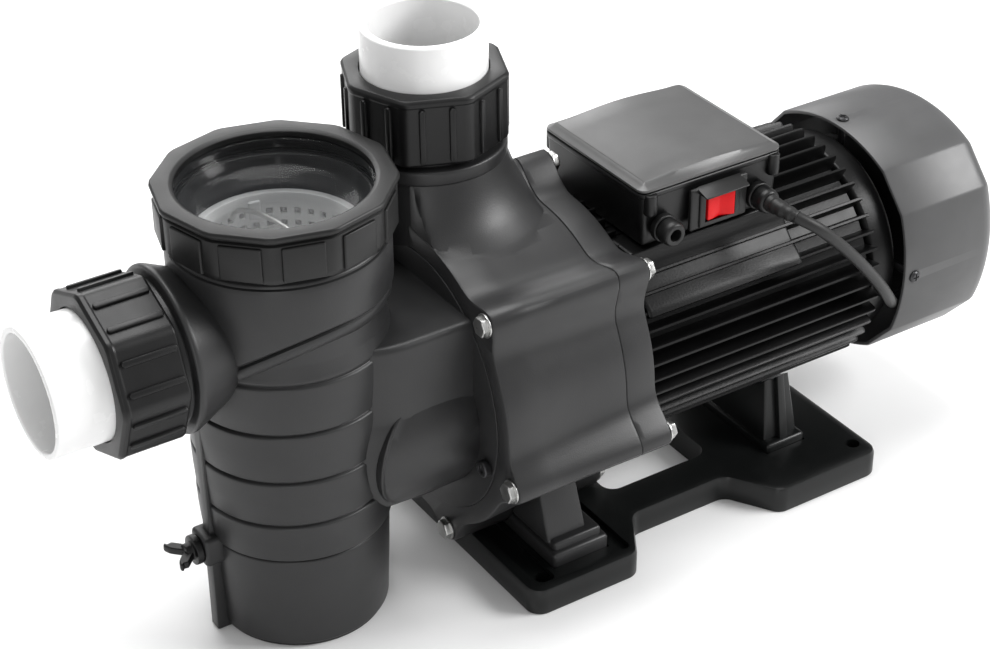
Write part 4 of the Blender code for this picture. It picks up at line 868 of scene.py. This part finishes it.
def motor():
    """A tube of thin tapered fins, and the end shield behind it."""
    count = 44
    half = radians(0.85)
    outline = []
    for k in range(count):
        middle = tau * (k + 0.5) / count
        for offset, radius in ((-1.6, FIN_WALL), (-1.3, FIN_WALL + 1.2), (-1.0, FIN_TIP - 1.2),
                (-0.6, FIN_TIP - 0.3), (0.6, FIN_TIP - 0.3), (1.0, FIN_TIP - 1.2),
                (1.3, FIN_WALL + 1.2), (1.6, FIN_WALL)):
            outline.append((middle + half * offset, radius))
    ends = ((82.3, 1.2), (83.0, 0.2), (84.5, 0), (240.5, 0), (242.3, 0.2), (243, 1.2))
    rows = [[(x, *around(radius - less, angle)) for angle, radius in outline] for x, less in ends]
    rows += [[(x, *around(55, angle)) for angle, radius in outline] for x in (243, 82.3)]
    housing = Shape().rings(rows, loop=True).object("motor_fins")
    top = BOX_FLOOR - 0.3
    clearance = Shape().box((BOX_X[0] - 1, -50, top), (BOX_X[1] + 1, 50, top + 20), 0).object("clearance")
    cut(housing, clearance)
    piece(housing, CAST, ["motor_housing"], 34)
    saddle()

    shield = Shape().lathe(soft([(0, 254), (55, 254), (55, 243.3), (58, 243.3), (60.5, 245), (60.5, 259),
            (58, 262), (30, 263.5), (27, 266), (27, 269), (0, 269)], 1.0, 3), (0, AXIS_Z), "X", 96)
    for k in range(4):
        shield.box((256, -6, 24), (272, 6, 61), 1.2, about_motor(pi / 2 * k))
    for k in range(24):
        shield.box((246, -1.1, 58), (259, 1.1, 61.8), 0.5, about_motor(tau * (k + 0.5) / 24))
    shield = shield.object("rear_end_shield")
    bore = Shape().lathe([(0, 240), (SHAFT_SEAT, 240), (SHAFT_SEAT, 267.3), (10, 267.3), (10, 275),
            (0, 275)], (0, AXIS_Z), "X", 48).object("bore")
    cut(shield, bore)
    piece(shield, CAST, ["rear_shield"], 34)


def saddle():
    """The smooth seat under the terminal box: a light ledge over a hollow that runs out onto the fins."""
    near = [(-41, 171.6), (-43.5, 171.4), (-44, 170.4), (-43.6, 167.5), (-44.5, 163), (-47.5, 157.5),
            (-52, 152.6), (-57, 148.8), (-60.8, 145.6), (-62.6, 142.6)]
    left = soft(near, 1.6, 3) + [(-60, 140), (-50, 147), (-30, 158)]
    section = left + [(-y, z) for y, z in reversed(left)]
    rows = []
    for x, pull in ((88.5, 0.9), (89.2, 0.25), (90.5, 0), (188.5, 0), (189.8, 0.25), (190.5, 0.9)):
        rows.append([(x, y, z) for y, z in shrink(section, pull)])
    piece(Shape().rings(rows).object("box_saddle"), CAST, (), 34)


def bow(half, depth, rise, count=24):
    radius = (half ** 2 + rise ** 2) / (2 * rise)
    reach = atan2(half, radius - rise)
    angles = [reach * (2 * k / count - 1) for k in range(count + 1)]
    return [(radius * sin(a), depth + rise - radius * (1 - cos(a))) for a in angles]


def cowl_row(x, inset):
    """Four bowed sides that meet in flat chamfers, with the chamfers' edges softened."""
    top = bow(44, 57.5, 11.5)
    side = bow(37.5, 62, 7)
    loop = list(top)
    loop += [(d, -h) for h, d in side]
    loop += [(-y, -z) for y, z in top]
    loop += [(-d, h) for h, d in side]
    loop = soft(loop, 0.9, 2, closed=True)
    size = 1 - inset / COWL_HALF
    return [(x, y * size, AXIS_Z + z * size) for y, z in loop]


def fan_cover():
    """An open-mouthed cowl with a rounded end, a row of air slots and four screws."""
    wall = 2.5

    def end_row(start, corner, inset, k):
        angle = pi / 2 * k / 8
        return cowl_row(start + corner * sin(angle), inset + corner * (1 - cos(angle)) * 0.95)

    outside = [cowl_row(COWL_FRONT, 1.3), cowl_row(COWL_FRONT + 0.2, 0.5), cowl_row(COWL_FRONT + 1, 0)]
    outside += [end_row(319, 12, 0, k) for k in range(9)]
    inside = [end_row(318.5, 9.8, wall, k) for k in range(8, -1, -1)]
    inside += [cowl_row(COWL_FRONT + 1, wall), cowl_row(COWL_FRONT + 0.2, 2.1)]
    cover = Shape().rings(outside[::-1] + inside[::-1]).object("cowl_shell")
    tools = []
    for k in range(-3, 4):
        height = AXIS_Z + 13 * k
        half = sqrt(50 ** 2 - (13 * k) ** 2)
        tools.append(Shape().box((322, -half, height - 3), (336, half, height + 3), 2.6,
                steps=4).object("slot"))
    for k in range(4):
        hole = drill(2.6, 44, 80, (COWL_SCREW_X, 0), "Z", 24)
        hole.mesh.transform(about_motor(pi / 2 * k))
        tools.append(hole.object("screw_hole"))
    cut(cover, *tools)
    piece(cover, COWL, ["fan_cover"], 34)
    for k in range(4):
        turn = about_motor(pi / 2 * k)
        screw = Shape().lathe(soft([(0, 50), (2.1, 50), (2.1, COWL_HALF + 0.2), (3.6, COWL_HALF + 0.2),
                (3.5, COWL_HALF + 1), (2.4, COWL_HALF + 1.9), (0, COWL_HALF + 2)], 0.3),
                (COWL_SCREW_X, 0), "Z", 32)
        screw.mesh.transform(turn)
        screw = screw.object(f"cowl_screw_{k + 1}")
        arms = []
        for along, across in ((2.2, 0.4), (0.4, 2.2)):
            arm = Shape().box((COWL_SCREW_X - along, -across, COWL_HALF + 1.2),
                    (COWL_SCREW_X + along, across, COWL_HALF + 4), 0)
            arm.mesh.transform(turn)
            arms.append(arm.object("arm"))
        cut(screw, *arms)
        piece(screw, DARK_STEEL, [f"fan_cover_screw_{k + 1}"], 34)


# ---------------------------------------------------------------- terminal box

def box_outline(inset, radius=5):
    low, high, half = BOX_X[0] + inset, BOX_X[1] - inset, BOX_HALF - inset
    return rounded([(low, -half), (high, -half), (high, half), (low, half)], radius, 8)


def dense(outline, step=3.0):
    """Extra points along the long edges of an outline."""
    out = []
    for a, b in zip(outline, outline[1:] + outline[:1]):
        a, b = Vector(a), Vector(b)
        count = max(1, int((b - a).length / step))
        out += [tuple(a + (b - a) * k / count) for k in range(count)]
    return out


def box_lid():
    """A cap with a crown along x, a bevelled band and a thin lower lip."""
    base_line = dense(box_outline(0))

    def wave(x):
        across = (x - BOX_X[0]) / (BOX_X[1] - BOX_X[0])
        return max(0.0, sin(pi * min(1, max(0, across)))) ** 2

    rows = []
    for inset, level, crown in ((0.6, 205, 0), (0.1, 205.4, 0), (0, 206, 0), (0.2, 206.6, 0.3),
            (1.4, 207.1, 0.8), (3.4, 208.0, 1.6), (4.4, 208.8, 2.2), (6.0, 209.1, 2.4)):
        rows.append([(x, y, level + crown * wave(x)) for x, y in shrink(base_line, inset)])
    edge = rows[-1]
    for share in (0.66, 0.33, 0):
        rows.append([(x, y * share, z) for x, y, z in edge])
    lid = Shape().rings(rows, caps=False)
    lid.mesh.verts.ensure_lookup_table()
    lid.mesh.faces.new(lid.mesh.verts[:len(edge)])
    bmesh.ops.remove_doubles(lid.mesh, verts=lid.mesh.verts, dist=0.02)
    lid = lid.object("box_lid_shell")
    hollow = Shape().plate(box_outline(5), 203, 206.7, edge=0).object("hollow")
    cut(lid, hollow)
    piece(lid, LID_PAINT, ["terminal_box_lid"], 34)


def terminal_box():
    """The box under the lid, with a lip at its top, and a screw column at each corner."""
    outline = dense(box_outline(0), 6)
    rows = []
    for inset, level in ((4.4, 172.6), (3.4, 173.0), (2.4, 175), (0.9, 200), (0.8, 201.2), (0.3, 201.6),
            (0.0, 202.2), (0.0, 203.8), (0.4, 204.3), (3.0, 204.3), (3.2, 203), (3.8, 176.5), (5, 175.6)):
        rows.append([(x, y, level) for x, y in shrink(outline, inset)])
    shell = Shape().rings(rows).object("box_shell")
    window = Shape().box((SWITCH[0] - 11.2, -50, SWITCH[1] - 9.2), (SWITCH[0] + 11.2, -37, SWITCH[1] + 9.2),
            0).object("window")
    tools = [window]
    for x in GLAND_X:
        tools.append(drill(5.4, -50, -37, (x, GLAND_Z), "Y", 32).object("hole"))
    cut(shell, *tools)
    piece(shell, NUT, ["terminal_box"], 34)
    columns = Shape()
    for x, y in ((BOX_X[0] + 6, -46), (BOX_X[1] - 6, -46), (BOX_X[0] + 6, 46), (BOX_X[1] - 6, 46)):
        side = -1 if y < 0 else 1
        columns.lathe(soft([(0, 192), (3.1, 192), (3.6, 193), (3.6, 203.4), (3.2, 204), (0, 204)], 0.4),
                (x, y + side * -1.6), "Z", 32)
    piece(columns.object("lid_screw_columns"), NUT, (), 34)


def switch():
    """A bezel with a sloping hood over a pocket, and the rocker in the pocket."""
    x, z = SWITCH
    wall = -BOX_HALF - 0.3
    bezel = Shape().box((x - 18.6, wall - 3, z - 11.5), (x + 18.6, wall, z + 13), 1.3,
            steps=3).object("switch_bezel")
    frame_rim = Shape().box((x - 13.2, wall - 4.2, z - 10.4), (x + 13.2, wall - 0.5, z + 9.6), 0.9,
            steps=3).object("rim")
    hood = Shape()
    side_rows = []
    for lateral, inset in ((x - 14, 0.5), (x - 13.4, 0), (x + 13.4, 0), (x + 14, 0.5)):
        section = soft([(wall - 1, z + 9.8 + inset), (wall - 10.4 + inset, z + 9.8 + inset),
                (wall - 10.8 + inset, z + 10.6), (wall - 1, z + 13.6 - inset)], 0.7, 3, closed=True)
        side_rows.append([(lateral, a, b) for a, b in section])
    hood = hood.rings(side_rows).object("hood")
    body = Shape().box((x - 10.8, wall - 2, z - 8.8), (x + 10.8, wall + 18, z + 8.8), 0.4).object("body")
    join(bezel, frame_rim, hood, body)
    pocket = Shape().box((x - 9.8, wall - 8, z - 7.7), (x + 9.8, wall + 10, z + 7.7), 0.3).object("pocket")
    cut(bezel, pocket)
    piece(bezel, RING, ["switch_plate"], 34)
    half, front = 8.2, -8.5
    outline = [(-half, front + 1.8), (-half * 0.5, front + 2.2), (0, front + 2.9),
            (half * 0.5, front + 1.5), (half, front), (half - 0.6, -1), (half - 1, 2), (0, 5),
            (1 - half, 2), (0.6 - half, -1)]
    outline = soft(outline, 0.8, 3, closed=True)
    pivot = (x, -BOX_HALF + 2, z)
    rows = []
    for level, inset in ((-7.2, 0.6), (-6.9, 0.15), (-6.4, 0), (6.4, 0), (6.9, 0.15), (7.2, 0.6)):
        rows.append([(pivot[0] + a, pivot[1] + b, pivot[2] + level) for a, b in shrink(outline, inset)])
    piece(Shape().rings(rows).object("rocker_cap"), RED, ["switch_rocker"], 34, "rocker")


def glands():
    """A stem through the wall, a flange and a domed cap with a hole, for each cable entry."""
    wall = -BOX_HALF - 0.3
    for name, node, x, hole, finish in (("blank_gland", "spare_gland", GLAND_X[0], 3.4, RING),
            ("entry_gland", "cord_gland", GLAND_X[1], 3.6, NUT)):
        gland = Shape().lathe(soft([(0, wall + 10), (5.1, wall + 10), (5.1, wall), (0, wall)], 0.3),
                (x, GLAND_Z), "Y", 32)
        gland.lathe(soft([(0, wall - 0.1), (7.7, wall - 0.1), (7.7, wall - 3.4), (7.2, wall - 4),
                (0, wall - 4)], 0.4), (x, GLAND_Z), "Y", 64)
        gland.lathe(soft([(0, wall - 3.6), (6.4, wall - 4.2), (6.9, wall - 5), (6.9, wall - 9.5),
                (6.5, wall - 11.4), (5.6, wall - 12.5), (hole, wall - 12.5), (hole, wall - 6.2),
                (0, wall - 6.2)], 0.5, 3), (x, GLAND_Z), "Y", 96)
        piece(gland.object(name), finish, [node], 34)


# ---------------------------------------------------------------- inner parts keep their CAD shape

INNER = (
    (RUBBER, "lid_o_ring inlet_o_ring outlet_o_ring seal_rotor"),
    (STEEL, "impeller_nut motor_shaft front_bearing_outer front_bearing_inner rear_bearing_outer"
        " rear_bearing_inner"),
    (LAMINATION, "rotor stator"), (COPPER, "stator_winding"), (CERAMIC, "seal_seat"), (BODY, "seal_plate"),
    (NUT, "impeller cooling_fan"), (CAPACITOR, "run_capacitor terminal_block"),
)


def inner_parts():
    for finish, names in INNER:
        for name in names.split():
            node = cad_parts[name]
            node.data.materials.clear()
            node.data.materials.append(finish)


camera()
power_cord()
studio()
pot()
lid_ring()
lid_and_basket()
drain_plug()
unions()
casing()
base()
feet()
motor()
fan_cover()
box_lid()
terminal_box()
switch()
glands()
inner_parts()
